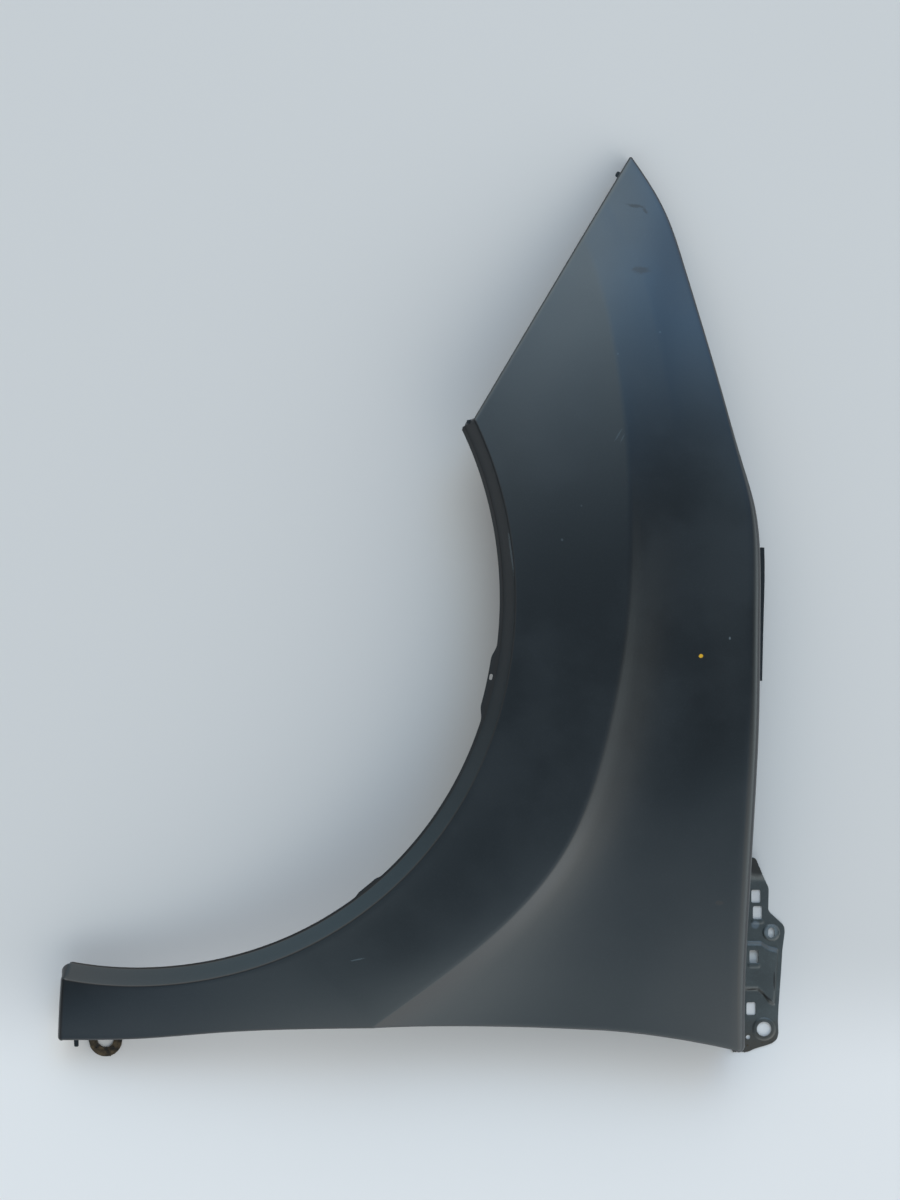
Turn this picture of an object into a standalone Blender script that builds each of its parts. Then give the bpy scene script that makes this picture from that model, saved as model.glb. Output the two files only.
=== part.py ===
"""Left front fender of a car: a pressed steel skin with its welded hinge pillar bracket and lower ear.

It lies with its painted side up. X runs towards the hood edge, Y towards the headlamp and Z out of
the painted side, in metres. The skin is lofted between feature lines: the crease of the wheel arch
lip, the ridge over the arch, the hollow behind the ridge, the shoulder under the hood and the door
edge. They are set out from the wheel centre, and folds then run round the whole outline.
"""
from dataclasses import dataclass
from math import atan2, cos, pi, radians, sin, tan

import bmesh
import bpy
import numpy as np
from mathutils import Matrix, Vector

# Driving sizes of the pressed skin
PANEL_LENGTH = 0.923        # headlamp tip to door edge
PANEL_HEIGHT = 0.713        # sill end to hood edge
CROWN_HEIGHT = 0.112        # crown of the wheel arch above the surface the fender lies on
SHEET = 0.0008

# Wheel arch and its lip
ARCH_RADIUS = 0.3765        # inner edge of the lip
ARCH_FRONT_ANGLE = radians(26.9)
ARCH_REAR_ANGLE = radians(-99.7)
ARCH_SWELL = 0.0016         # how far the arch leaves the circle
LIP_REACH = 0.012           # plan width of the sloping band at the headlamp
LIP_REACH_AT_SILL = 0.0155
LIP_DEPTH = 0.014
LIP_BEND = 0.003
RETURN_WIDTH = 0.0042       # narrow strip at the lip's inner edge, at the headlamp
RETURN_WIDTH_AT_SILL = 0.002
RETURN_BEND = 0.002
RETURN_LEAN = radians(12)
LINER_TAB_WIDTH = 0.0042
LINER_TAB_LENGTH = 0.078
REAR_TAB_WIDTH = 0.0018
REAR_TAB_LENGTH = 0.034
LINER_HOLE_WIDTH = 0.003
LINER_HOLE_LENGTH = 0.006

# Folds round the rest of the outline
EDGE_BEND = 0.0025
EDGE_FLANGE = 0.012
SILL_BEND = 0.007
SILL_FLANGE = 0.013
EDGE_LEAN = radians(90)
HOOD_BEND = 0.003           # tight fold at the front of the hood edge
SHOULDER_BEND = 0.0115      # wide roll of the shoulder further back
HOOD_WALL_LEAN = radians(94)
HOOD_FLANGE_BEND = 0.002
HOOD_FLANGE_WIDTH = 0.0175
HOOD_FLANGE_HEIGHT = 0.022  # underside above the surface the fender lies on
HOOD_FLANGE_LENGTH = 0.141
HOOD_FLANGE_SET_BACK = 0.401    # headlamp tip to the front end of the flange
HOOD_SLOT_WIDTH = 0.007
HOOD_SLOT_LENGTH = 0.011
RIDGE_SOFTNESS = 0.005      # half width over which the ridge is rounded

# Locating tabs at the outline
TAB_SHEET = 0.0012
HEADLAMP_TAB_WIDTH = 0.006
HEADLAMP_TAB_REACH = 0.0035
CORNER_TAB_WIDTH = 0.004
CORNER_TAB_REACH = 0.003
SILL_TAB_WIDTH = 0.0045
SILL_TAB_REACH = 0.009
SILL_TAB_INSET = 0.012      # from the sill corner along the door edge

# Hinge pillar bracket
BRACKET_SHEET = 0.0012
BRACKET_LENGTH = 0.204
BRACKET_WIDTH = 0.0550
BRACKET_REAR_OVERHANG = 0.0188  # past the rear corner of the shoulder
BRACKET_BEND = 0.002
WELD_FLANGE_HEIGHT = 0.016
PAD_HEIGHT = 0.003          # raised middle of the bracket
PAD_RAMP = 0.006            # length of its sloping ends
PAD_SIDE_RAMP = 0.002
PAD_MARGIN = 0.0045         # flat rim outside the pad, along the bracket's outer edge
RAMP_HEIGHT = 0.012         # sloping front end of the bracket
WINDOW_WIDTH = 0.0095
WINDOW_LENGTH = 0.0135
WINDOW_CORNER = 0.0018
BOSS_RADIUS = 0.0086
BOSS_HEIGHT = 0.0015
BOSS_SLOT_WIDTH = 0.0068
BOSS_SLOT_LENGTH = 0.0104
LOCATING_HOLE_RADIUS = 0.0076
PILOT_HOLE_RADIUS = 0.0023
WALL_FOOT = 0.004           # clearance of the hood wall over the surface at the bracket

# Lower ear
EAR_SHEET = 0.0016
EAR_RADIUS = 0.0175
EAR_HOLE_RADIUS = 0.0085
EAR_BEND = 0.003
EAR_LEG_HEIGHT = 0.034
EAR_FROM_SILL_CORNER = 0.037
EAR_OVERHANG = 0.0088       # hole centre outside the door edge

FIT_GAP = 0.0003
CUT_OVERRUN = 0.004

# Mesh density
RIDGE_COLUMNS = 46
SILL_COLUMNS = 18
FLARE_ROW_SHARES = (0, 0.16, 0.36, 0.58, 0.8, 1)
HOLLOW_ROW_SHARES = (0, 0.22, 0.5, 0.76, 1)
SHOULDER_ROW_SHARES = (0, 0.25, 0.5, 0.75, 1)
BEND_STEPS = 3
CORNER_STEPS = 3
ROUND_STEPS = 20
SLOT_STEPS = 4
SEARCH_STEPS = 2000

# Evenly spaced along the arch: its swell, the height of the lip crease and the skin's slope there
ARCH_SWELL_SHARES = (1, -0.5, -0.6, 0.5, 0.8, 0, -0.6, 1)
CREASE_HEIGHT_SHARES = (0.77, 0.895, 0.96, 0.97, 0.93, 0.82, 0.63, 0.395)
CREASE_SLOPE_SHARES = (-0.14, -0.05, -0.02, -0.01, -0.025, -0.055, -0.06, 0)

# Feature lines from front to rear: x of the height, y of the length and z of the crown height, all
# from the wheel centre, then the skin's rise per run where it arrives from the arch and leaves again
RIDGE_SHARES = (
    (0.649, 0.4, 0.41, -0.22, -0.27),
    (0.676, 0.325, 0.57, -0.17, -0.235),
    (0.693, 0.247, 0.7, -0.12, -0.225),
    (0.705, 0.159, 0.81, -0.08, -0.245),
    (0.708, 0.062, 0.89, -0.055, -0.28),
    (0.701, -0.035, 0.935, -0.035, -0.305),
    (0.675, -0.147, 0.96, -0.025, -0.305),
    (0.62, -0.266, 0.965, -0.03, -0.295),
    (0.533, -0.35, 0.93, -0.055, -0.26),
    (0.443, -0.409, 0.865, -0.11, -0.21),
    (0.35, -0.464, 0.75, -0.155, -0.165),
)
HOLLOW_SHARES = (
    (0.681, 0.442, 0.305, -0.285, -0.285),
    (0.728, 0.361, 0.47, -0.27, -0.27),
    (0.754, 0.276, 0.61, -0.25, -0.25),
    (0.771, 0.182, 0.725, -0.2, -0.2),
    (0.784, 0.095, 0.78, -0.12, -0.12),
    (0.791, -0.002, 0.815, -0.02, -0.02),
    (0.788, -0.11, 0.84, 0.05, 0.05),
    (0.774, -0.218, 0.84, 0.01, 0.01),
    (0.75, -0.315, 0.805, -0.03, -0.03),
    (0.714, -0.402, 0.755, -0.01, -0.01),
    (0.675, -0.468, 0.69, 0.005, 0.005),
)
SHOULDER_SHARES = (
    (0.7185, 0.491, 0.19, -0.295, -0.295),
    (0.762, 0.432, 0.295, -0.285, -0.285),
    (0.789, 0.368, 0.4, -0.27, -0.27),
    (0.811, 0.304, 0.51, -0.25, -0.25),
    (0.838, 0.223, 0.63, -0.195, -0.195),
    (0.862, 0.145, 0.715, -0.13, -0.13),
    (0.875, 0.095, 0.765, -0.08, -0.08),
    (0.877, 0.041, 0.81, -0.03, -0.03),
    (0.8745, -0.024, 0.855, 0.02, 0.02),
    (0.871, -0.131, 0.895, 0.065, 0.065),
    (0.866, -0.239, 0.845, 0.065, 0.065),
    (0.861, -0.348, 0.765, 0.0, 0.0),
    (0.86, -0.437, 0.68, -0.075, -0.075),
    (0.862, -0.492, 0.62, -0.135, -0.135),
)
DOOR_SHARES = (
    (0.35, -0.464, 0.75, -0.155, -0.17),
    (0.246, -0.467, 0.68, -0.145, -0.16),
    (0.132, -0.473, 0.59, -0.145, -0.14),
    (0.016, -0.483, 0.465, -0.17, -0.1),
    (-0.099, -0.488, 0.34, -0.195, -0.06),
)
ARCH_SHARE_TO_RIDGE_END = 0.71  # of the arch, opposite the ridge
DOOR_BOW_SHARES = (0.0021, 0.0034)  # of the length, how far the door edge bows in beside the hollow's end
DOOR_BOW_REACH = 12             # the higher, the closer to the door edge the bow starts

# Radius of the fold along the hood edge, front to rear, from the tight to the wide value
HOOD_ROLL_SHARES = (0, 0, 0, 0.02, 0.3, 0.9, 1, 1, 1, 1, 0.95, 0.85)
# Places along the hood edge, front to rear, where the wall's foot changes its height
FOOT_PLACE_SHARES = (0, 0.03, 0.14, 0.43, 0.62, 0.74, 1)
FOOT_RISE_SHARES = (0, 0.14, 0.45, 1, 1)    # of the flange height, up to the end of the hood flange
LINER_TAB_SHARES = (0.315, 0.605)   # middle of each tab, of the arch
LINER_HOLE_SHARE = 0.308
TAB_END_SHARE = 0.2             # of a tab's length, each sloping end
SLOT_CORNER_SHARE = 0.49        # of a slot's width, its corner radius
HOOD_SLOT_SHARES = (0.2, 0.8)       # of the flange's length
HEADLAMP_TAB_SHARE = 0.065          # of the headlamp edge, from the tip
CORNER_TAB_SHARE = 0.975

# Bracket outline beside the skin, front to rear: share of the width, share of the length
BRACKET_OUTLINE_SHARES = (
    (0.41, 0.0), (0.695, 0.163), (0.685, 0.281), (0.978, 0.352), (1.0, 0.382), (0.951, 0.485), (0.929, 0.587),
    (0.88, 0.77), (0.869, 0.842), (0.88, 0.903), (0.847, 0.939), (0.711, 0.964), (0.41, 0.982), (0.325, 1.0),
)
RAMP_END_SHARE = 0.12
# The pad's front and rear ends across the bracket: share of the width, share of the length
PAD_FRONT_SHARES = ((0.127, 0.430), (0.542, 0.432), (0.684, 0.457), (0.945, 0.475))
PAD_REAR_SHARES = ((0.127, 0.69), (0.487, 0.69), (0.596, 0.715), (0.706, 0.757), (0.847, 0.772))
PAD_MIDDLE_SHARES = (0.44, 0.72)    # places of the two ends among the sections
PLATE_COLUMN_SHARES = (0.3, 0.5, 0.65, 0.8, 1)
# Bracket holes: share of the width, share of the length
WINDOW_SHARES = ((0.452, 0.206), (0.482, 0.289), (0.408, 0.511), (0.359, 0.780))
BOSS_SHARES = (0.741, 0.390)
LOCATING_HOLE_SHARES = (0.605, 0.883)
PILOT_HOLE_SHARES = (0.304, 0.925)


@dataclass
class Rim:
    """One station of an edge that a fold starts from."""
    vert: bmesh.types.BMVert
    away: Vector            # plan direction pointing off the skin
    angle: float            # present fall of the sheet below the horizontal


def start_model():
    """Empty the scene and make the collections for the pieces and for the cutters."""
    for item in list(bpy.data.objects):
        bpy.data.objects.remove(item)
    collections = []
    for name in ("car_fender", "cutters"):
        collection = bpy.data.collections.new(name)
        bpy.context.scene.collection.children.link(collection)
        collections.append(collection)
    return collections


def make_material(name, colour, roughness, metallic):
    """A Principled BSDF in one colour."""
    material = bpy.data.materials.new(name)
    material.use_nodes = True
    shader = material.node_tree.nodes["Principled BSDF"]
    shader.inputs["Base Color"].default_value = (*colour, 1)
    shader.inputs["Roughness"].default_value = roughness
    shader.inputs["Metallic"].default_value = metallic
    return material


def make_object(name, bm, collection, material=None):
    """Turn a bmesh into a smooth-shaded object in a collection."""
    mesh = bpy.data.meshes.new(name)
    bm.to_mesh(mesh)
    bm.free()
    mesh.shade_smooth()
    mesh.set_sharp_from_angle(angle=radians(40))
    item = bpy.data.objects.new(name, mesh)
    collection.objects.link(item)
    if material:
        mesh.materials.append(material)
    else:
        item.hide_render = True
        item.display_type = "WIRE"
    return item


def face_up(bm):
    """Turn all faces of an open sheet the same way, with the skin's normals pointing up."""
    bmesh.ops.recalc_face_normals(bm, faces=bm.faces)
    if sum(face.normal.z * face.calc_area() for face in bm.faces) < 0:
        bmesh.ops.reverse_faces(bm, faces=bm.faces)


def thicken(item, thickness, offset):
    """Give a sheet its thickness, below its faces for an offset of -1 and above them for 1."""
    solid = item.modifiers.new("sheet", "SOLIDIFY")
    solid.thickness = thickness
    solid.offset = offset
    solid.use_even_offset = True
    solid.use_quality_normals = True


def boolean(item, tool, operation):
    """Cut a tool from an item or join it on."""
    modifier = item.modifiers.new(operation.lower(), "BOOLEAN")
    modifier.object = tool
    modifier.operation = operation
    modifier.solver = "EXACT"


def spline(points, fractions):
    """Read a natural cubic curve through rows of points at fractions of its plan length."""
    points = np.asarray(points, dtype=float)
    chords = np.linalg.norm(np.diff(points[:, :2], axis=0), axis=1)
    knots = np.concatenate(([0], np.cumsum(chords))) / chords.sum()
    return natural_cubic(knots, points, fractions)


def natural_cubic(knots, values, fractions):
    """Natural cubic interpolation of rows of values given at the knots."""
    spans = np.diff(knots)
    matrix = np.eye(len(knots))
    right = np.zeros(values.shape)
    for k in range(1, len(knots) - 1):
        matrix[k, k - 1:k + 2] = spans[k - 1], 2 * (spans[k - 1] + spans[k]), spans[k]
        right[k] = 6 * ((values[k + 1] - values[k]) / spans[k] - (values[k] - values[k - 1]) / spans[k - 1])
    bends = np.linalg.solve(matrix, right)
    rows = []
    for fraction in np.atleast_1d(fractions):
        k = int(np.clip(np.searchsorted(knots, fraction) - 1, 0, len(spans) - 1))
        after = (fraction - knots[k]) / spans[k]
        before = 1 - after
        cubic = (before ** 3 - before) * bends[k] + (after ** 3 - after) * bends[k + 1]
        rows.append(before * values[k] + after * values[k + 1] + cubic * spans[k] ** 2 / 6)
    return np.array(rows)


def even_spline(shares, fractions):
    """Read a smooth curve through evenly spaced values."""
    values = np.asarray(shares, dtype=float).reshape(len(shares), 1)
    return natural_cubic(np.linspace(0, 1, len(shares)), values, fractions)[:, 0]


def feature_line(shares, fractions):
    """Read a feature line in metres, with its two slopes, at fractions of its length."""
    return spline(np.array(shares) * (PANEL_HEIGHT, PANEL_LENGTH, CROWN_HEIGHT, 1, 1), fractions)


def lip_reach(fraction):
    """Plan width of the sloping band of the lip along the arch."""
    return LIP_REACH + (LIP_REACH_AT_SILL - LIP_REACH) * fraction


def return_width(fraction):
    """Plan width of the strip at the lip's inner edge, without its tabs."""
    return RETURN_WIDTH + (RETURN_WIDTH_AT_SILL - RETURN_WIDTH) * fraction


def arch_point(fraction, radius, height):
    """A point about the wheel centre."""
    angle = ARCH_FRONT_ANGLE + (ARCH_REAR_ANGLE - ARCH_FRONT_ANGLE) * fraction
    return radius * cos(angle), radius * sin(angle), height


def arch_radius(fraction):
    """Radius of the lip's inner edge, which swells a little from the circle."""
    return ARCH_RADIUS + ARCH_SWELL * even_spline(ARCH_SWELL_SHARES, fraction)[0]


def crease_line(fractions):
    """Crease where the skin turns down into the lip, as rows like those of a feature line."""
    heights = even_spline(CREASE_HEIGHT_SHARES, fractions) * CROWN_HEIGHT
    slopes = even_spline(CREASE_SLOPE_SHARES, fractions)
    rows = []
    for fraction, height, slope in zip(fractions, heights, slopes):
        radius = arch_radius(fraction) + return_width(fraction) + lip_reach(fraction)
        rows.append((*arch_point(fraction, radius, height), slope, slope))
    return np.array(rows)


def section(start, finish, shares, soft_start=0.0, soft_finish=0.0):
    """Points of the skin between two feature lines, rounded where an end is the ridge."""
    span = float(np.linalg.norm(finish[:2] - start[:2]))
    rise_out = start[4] * span
    rise_in = finish[3] * span
    points = []
    for share in shares:
        t = (soft_start + share * (span - soft_start - soft_finish)) / span
        height = ((2 * t ** 3 - 3 * t ** 2 + 1) * start[2] + (t ** 3 - 2 * t ** 2 + t) * rise_out
                  + (3 * t ** 2 - 2 * t ** 3) * finish[2] + (t ** 3 - t ** 2) * rise_in)
        plan = start[:2] + (finish[:2] - start[:2]) * t
        points.append((*plan, height))
    return points


def ridge_point(row):
    """Top of the rounded ridge, a little below the line where its two sides would meet."""
    break_angle = row[3] - row[4]
    return row[0], row[1], row[2] - break_angle * RIDGE_SOFTNESS / 4


def hood_flange_ends():
    """Y of the front and rear ends of the hood flange."""
    front = SHOULDER_SHARES[0][1] * PANEL_LENGTH - HOOD_FLANGE_SET_BACK
    return front, front - HOOD_FLANGE_LENGTH


def long_fractions():
    """Places of the columns along the long feature lines, with one at each end of the hood flange."""
    fine = np.linspace(0, 1, SEARCH_STEPS)
    ys = feature_line(SHOULDER_SHARES, fine)[:, 1]
    front, rear = (float(np.interp(-y, -ys, fine)) for y in hood_flange_ends())
    stops = (0, front, rear, 1)
    places = [0.0]
    for start, stop in zip(stops, stops[1:]):
        count = max(2, round((stop - start) * RIDGE_COLUMNS))
        places += list(np.linspace(start, stop, count + 1)[1:])
    return np.array(places)


def flare_columns():
    """Columns of the skin from the lip crease to the ridge and, behind its end, to the door edge."""
    front = long_fractions()
    rear = np.linspace(0, 1, SILL_COLUMNS + 1)[1:]
    arch = np.concatenate((front * ARCH_SHARE_TO_RIDGE_END,
                           ARCH_SHARE_TO_RIDGE_END + rear * (1 - ARCH_SHARE_TO_RIDGE_END)))
    far = np.concatenate((feature_line(RIDGE_SHARES, front), feature_line(DOOR_SHARES, rear)))
    columns = []
    for near_row, far_row in zip(crease_line(arch), far):
        column = section(near_row, far_row, FLARE_ROW_SHARES, soft_finish=RIDGE_SOFTNESS)
        columns.append(column + [ridge_point(far_row)])
    return arch, columns


def side_columns():
    """Columns of the skin from the ridge through the hollow to the shoulder."""
    fractions = long_fractions()
    lines = [feature_line(shares, fractions) for shares in (RIDGE_SHARES, HOLLOW_SHARES, SHOULDER_SHARES)]
    columns = []
    for fraction, ridge, hollow, shoulder in zip(fractions, *lines):
        bows = [share * PANEL_LENGTH * fraction ** DOOR_BOW_REACH for share in DOOR_BOW_SHARES]
        near = section(ridge, hollow, HOLLOW_ROW_SHARES, soft_start=RIDGE_SOFTNESS)
        far = section(hollow, shoulder, SHOULDER_ROW_SHARES)[1:]
        near = bow_in(near, HOLLOW_ROW_SHARES, bows[0])
        far = bow_in(far, SHOULDER_ROW_SHARES[1:], bows[1])
        columns.append([ridge_point(ridge)] + near + far)
    return columns


def bow_in(points, shares, bow):
    """Push the middle of a run of points forward by the bow of the door edge."""
    return [(x, y + bow * 4 * share * (1 - share), z) for (x, y, z), share in zip(points, shares)]


def add_columns(bm, columns, first_row=None):
    """Add columns of points as a grid of faces, on shared vertices where the first row is given."""
    grid = []
    for i, column in enumerate(columns):
        verts = [bm.verts.new(point) for point in (column[1:] if first_row else column)]
        grid.append(([first_row[i]] if first_row else []) + verts)
    for left, right in zip(grid, grid[1:]):
        for j in range(len(left) - 1):
            bm.faces.new((left[j], left[j + 1], right[j + 1], right[j]))
    return grid


def edge_rims(verts, inner):
    """Stations along one side of the skin, taken with the skin on the left."""
    rims = []
    for k, vert in enumerate(verts):
        step = verts[min(k + 1, len(verts) - 1)].co - verts[max(k - 1, 0)].co
        away = Vector((step.y, -step.x, 0)).normalized()
        run = vert.co - inner[k].co
        fall = atan2(-run.z, max(run.dot(away), SHEET))
        rims.append(Rim(vert, away, fall))
    return rims


def blend(start, finish, share):
    """A value part of the way between two."""
    return start + (finish - start) * share


def corner_rims(last, first):
    """Stations that turn a fold round a corner of the skin."""
    rims = []
    turn = last.away.to_2d().angle_signed(first.away.to_2d())
    for k in range(1, CORNER_STEPS):
        share = k / CORNER_STEPS
        away = last.away.copy()
        away.rotate(Matrix.Rotation(-turn * share, 3, "Z"))
        rims.append(Rim(last.vert, away, blend(last.angle, first.angle, share)))
    return rims


def fold(bm, rims, leans, bends, runs, steps=BEND_STEPS, closed=False):
    """Bend the sheet on from its rims to new leans, with a straight run after each bend."""
    strips = []
    ends = []
    for rim, lean, bend, run in zip(rims, leans, bends, runs):
        turn = (lean - rim.angle) / steps
        chord = 2 * bend * abs(sin(turn / 2))
        moves = [(rim.angle + turn * (k + 0.5), chord) for k in range(steps)] + [(lean, run)]
        strip = [rim.vert]
        place = rim.vert.co.copy()
        for angle, length in moves:
            place += (rim.away * cos(angle) - Vector((0, 0, sin(angle)))) * length
            strip.append(bm.verts.new(place))
        strips.append(strip)
        ends.append(Rim(strip[-1], rim.away, lean))
    pairs = list(zip(strips, strips[1:])) + ([(strips[-1], strips[0])] if closed else [])
    for left, right in pairs:
        for j in range(len(left) - 1):
            corners = [left[j], left[j + 1], right[j + 1], right[j]]
            if corners[0] is corners[3]:
                corners.pop()
            bm.faces.new(corners)
    return ends


def lip_folds(count, arch):
    """Lean, bend and run of the lip band for each station along the arch."""
    values = []
    for fraction in arch[:count]:
        lean = atan2(LIP_DEPTH, lip_reach(fraction))
        run = (lip_reach(fraction) - LIP_BEND * sin(lean)) / cos(lean)
        values.append((lean, LIP_BEND, run))
    return values


def hood_folds(rims):
    """Lean, bend and run of the hood wall, whose foot follows its own line above the surface."""
    shares = np.linspace(1, 0, len(rims))
    rolls = np.clip(even_spline(HOOD_ROLL_SHARES, shares), 0, 1)
    at_flange = HOOD_FLANGE_HEIGHT + SHEET + HOOD_FLANGE_BEND * (1 - cos(HOOD_WALL_LEAN))
    heights = [share * at_flange for share in FOOT_RISE_SHARES] + [WALL_FOOT, WALL_FOOT]
    feet = np.interp(shares, FOOT_PLACE_SHARES, heights)
    values = []
    for rim, roll, foot in zip(rims, rolls, feet):
        bend = blend(HOOD_BEND, SHOULDER_BEND, roll)
        drop = bend * (cos(rim.angle) - cos(HOOD_WALL_LEAN))
        values.append((HOOD_WALL_LEAN, bend, (rim.vert.co.z - drop - foot) / sin(HOOD_WALL_LEAN)))
    return values


def turned_values(last, first):
    """Fold values between two sides, for the stations that turn the corner."""
    steps = [k / CORNER_STEPS for k in range(1, CORNER_STEPS)]
    return [tuple(blend(a, b, share) for a, b in zip(last, first)) for share in steps]


def add_outline_folds(bm, arch, flare, side):
    """Fold the sheet down all round the skin, and return the new rims side by side."""
    last = len(side) - 1
    door = [side[last][j] for j in range(len(side[last]) - 1, 0, -1)]
    door_inner = [side[last - 1][j] for j in range(len(side[last]) - 1, 0, -1)]
    door += [column[-1] for column in flare[last:]]
    door_inner += [column[-2] for column in flare[last:]]
    headlamp = flare[0] + side[0][1:]
    headlamp_inner = flare[1] + side[1][1:]
    sides = [
        edge_rims([column[0] for column in flare], [column[1] for column in flare]),
        edge_rims(flare[-1], flare[-2]),
        edge_rims(door[::-1], door_inner[::-1]),
        edge_rims([column[-1] for column in side[::-1]], [column[-2] for column in side[::-1]]),
        edge_rims(headlamp[::-1], headlamp_inner[::-1]),
    ]
    for rim, fraction in zip(sides[0], arch):
        rim.away = -Vector(arch_point(fraction, 1, 0))
    values = [
        lip_folds(len(sides[0]), arch),
        [(EDGE_LEAN, SILL_BEND, SILL_FLANGE)] * len(sides[1]),
        [(EDGE_LEAN, EDGE_BEND, EDGE_FLANGE)] * len(sides[2]),
        hood_folds(sides[3]),
        [(EDGE_LEAN, EDGE_BEND, EDGE_FLANGE)] * len(sides[4]),
    ]
    rims, folds, spans = [], [], []
    for k, (stations, settings) in enumerate(zip(sides, values)):
        following = (k + 1) % len(sides)
        spans.append((len(rims), len(rims) + len(stations)))
        rims += stations + corner_rims(stations[-1], sides[following][0])
        folds += settings + turned_values(settings[-1], values[following][0])
    ends = fold(bm, rims, *zip(*folds), closed=True)
    return [ends[slice(*span)] for span in spans]


def tab_shape(distance, length):
    """Share of a tab's full width at a distance from its middle, with sloping ends."""
    return min(1.0, max(0.0, (length / 2 - abs(distance)) / (length * TAB_END_SHARE)))


def add_return_strip(bm, arch, rims):
    """Turn the lip's inner edge back to face outwards, wider where the liner is fixed."""
    arc_length = ARCH_RADIUS * (ARCH_FRONT_ANGLE - ARCH_REAR_ANGLE)
    widths = []
    for fraction in arch:
        front = LINER_TAB_WIDTH * tab_shape((fraction - LINER_TAB_SHARES[0]) * arc_length, LINER_TAB_LENGTH)
        rear = REAR_TAB_WIDTH * tab_shape((fraction - LINER_TAB_SHARES[1]) * arc_length, REAR_TAB_LENGTH)
        bend_reach = RETURN_BEND * (sin(rims[0].angle) - sin(RETURN_LEAN))
        widths.append((return_width(fraction) + front + rear - bend_reach) / cos(RETURN_LEAN))
    count = len(rims)
    fold(bm, rims, [RETURN_LEAN] * count, [RETURN_BEND] * count, widths, steps=2)


def hood_flange_rims(rims):
    """The stations of the hood wall that carry the mounting flange."""
    front, rear = hood_flange_ends()
    return [rim for rim in rims if rear - FIT_GAP < rim.vert.co.y < front + FIT_GAP]


def add_hood_flange(bm, rims):
    """Turn the foot of the hood wall out into a flat mounting flange."""
    count = len(rims)
    reach = HOOD_FLANGE_WIDTH - HOOD_FLANGE_BEND
    return fold(bm, rims, [0.0] * count, [HOOD_FLANGE_BEND] * count, [reach] * count)


def skin_frame(arch):
    """Grids of the skin in a new bmesh, with everything folded from it."""
    bm = bmesh.new()
    flare = add_columns(bm, flare_columns()[1])
    side = add_columns(bm, side_columns(), [column[-1] for column in flare[:len(long_fractions())]])
    lip, _, door, hood, headlamp = add_outline_folds(bm, arch, flare, side)
    add_return_strip(bm, arch, lip)
    flange = add_hood_flange(bm, hood_flange_rims(hood))
    face_up(bm)
    edges = {"hood": hood, "door": door, "flange": flange, "headlamp": headlamp}
    places = {name: [(rim.vert.co.copy(), rim.away.copy()) for rim in rims] for name, rims in edges.items()}
    return bm, places


def prism(bm, outline, low, high, matrix=Matrix.Identity(4)):
    """Add a closed prism over a flat outline between two heights."""
    lower = [bm.verts.new(matrix @ Vector((x, y, low))) for x, y in outline]
    upper = [bm.verts.new(matrix @ Vector((x, y, high))) for x, y in outline]
    bm.faces.new(lower[::-1])
    bm.faces.new(upper)
    for k in range(len(outline)):
        n = (k + 1) % len(outline)
        bm.faces.new((lower[k], lower[n], upper[n], upper[k]))


def rounded_slot(width, length, corner):
    """Outline of a slot along Y with rounded corners, about its own middle."""
    points = []
    for turn in range(4):
        sign_x = 1 if turn in (0, 3) else -1
        sign_y = 1 if turn in (0, 1) else -1
        for k in range(SLOT_STEPS + 1):
            angle = (turn + k / SLOT_STEPS) * pi / 2
            points.append((sign_x * (width / 2 - corner) + corner * cos(angle),
                           sign_y * (length / 2 - corner) + corner * sin(angle)))
    return points


def disc(radius):
    """Outline of a circle about its own middle."""
    angles = [2 * pi * k / ROUND_STEPS for k in range(ROUND_STEPS)]
    return [(radius * cos(angle), radius * sin(angle)) for angle in angles]


def facing(point, away):
    """Matrix at a point whose X axis runs off the skin and whose Y axis follows its edge."""
    across = Vector((0, 0, 1)).cross(away)
    matrix = Matrix((away, across, (0, 0, 1))).transposed().to_4x4()
    matrix.translation = point
    return matrix


def add_tab(bm, point, away, width, reach):
    """A small flat tab that stands out from a fold, rooted inside its sheet."""
    root = -SHEET / 2
    outline = ((root, -width / 2), (reach, -width / 2), (reach, width / 2), (root, width / 2))
    prism(bm, outline, 0, TAB_SHEET, facing(point, away))


def edge_tabs(places, cutters):
    """Locating tabs on the headlamp flange and at the sill corner."""
    bm = bmesh.new()
    settings = ((HEADLAMP_TAB_SHARE, HEADLAMP_TAB_WIDTH, HEADLAMP_TAB_REACH),
                (CORNER_TAB_SHARE, CORNER_TAB_WIDTH, CORNER_TAB_REACH))
    for share, width, reach in settings:
        point, away = by_length(places["headlamp"], share)
        add_tab(bm, point + Vector((0, 0, EDGE_FLANGE / 2)), away, width, reach)
    corner, away = places["door"][0]
    point = corner + Vector((SILL_TAB_INSET, 0, 0))
    point.z = at_x(places["door"], point.x).z + TAB_SHEET
    point.y = at_x(places["door"], point.x).y
    add_tab(bm, point, away, SILL_TAB_WIDTH, SILL_TAB_REACH)
    return make_object("edge_tabs", bm, cutters)


def by_length(places, share):
    """A point and direction at a share of the length of a list of places."""
    lengths = [0.0]
    for (a, _), (b, _) in zip(places, places[1:]):
        lengths.append(lengths[-1] + (b - a).length)
    goal = share * lengths[-1]
    for k in range(len(places) - 1):
        if goal <= lengths[k + 1]:
            part = (goal - lengths[k]) / (lengths[k + 1] - lengths[k])
            return places[k][0].lerp(places[k + 1][0], part), places[k][1]
    return places[-1]


def at_x(places, x):
    """The point of an edge that runs along X, at a given X."""
    xs = [place.x for place, _ in places]
    return Vector((x, np.interp(x, xs, [p.y for p, _ in places]), np.interp(x, xs, [p.z for p, _ in places])))


def wall_x(places, y, height):
    """Outer face of the hood wall at a given Y and height."""
    points = sorted(((point.y, point.x, point.z) for point, _ in places["hood"]))
    ys, xs, zs = zip(*points)
    foot = np.interp(y, ys, zs)
    return np.interp(y, ys, xs) + (height - foot) * tan(HOOD_WALL_LEAN - pi / 2)


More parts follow.
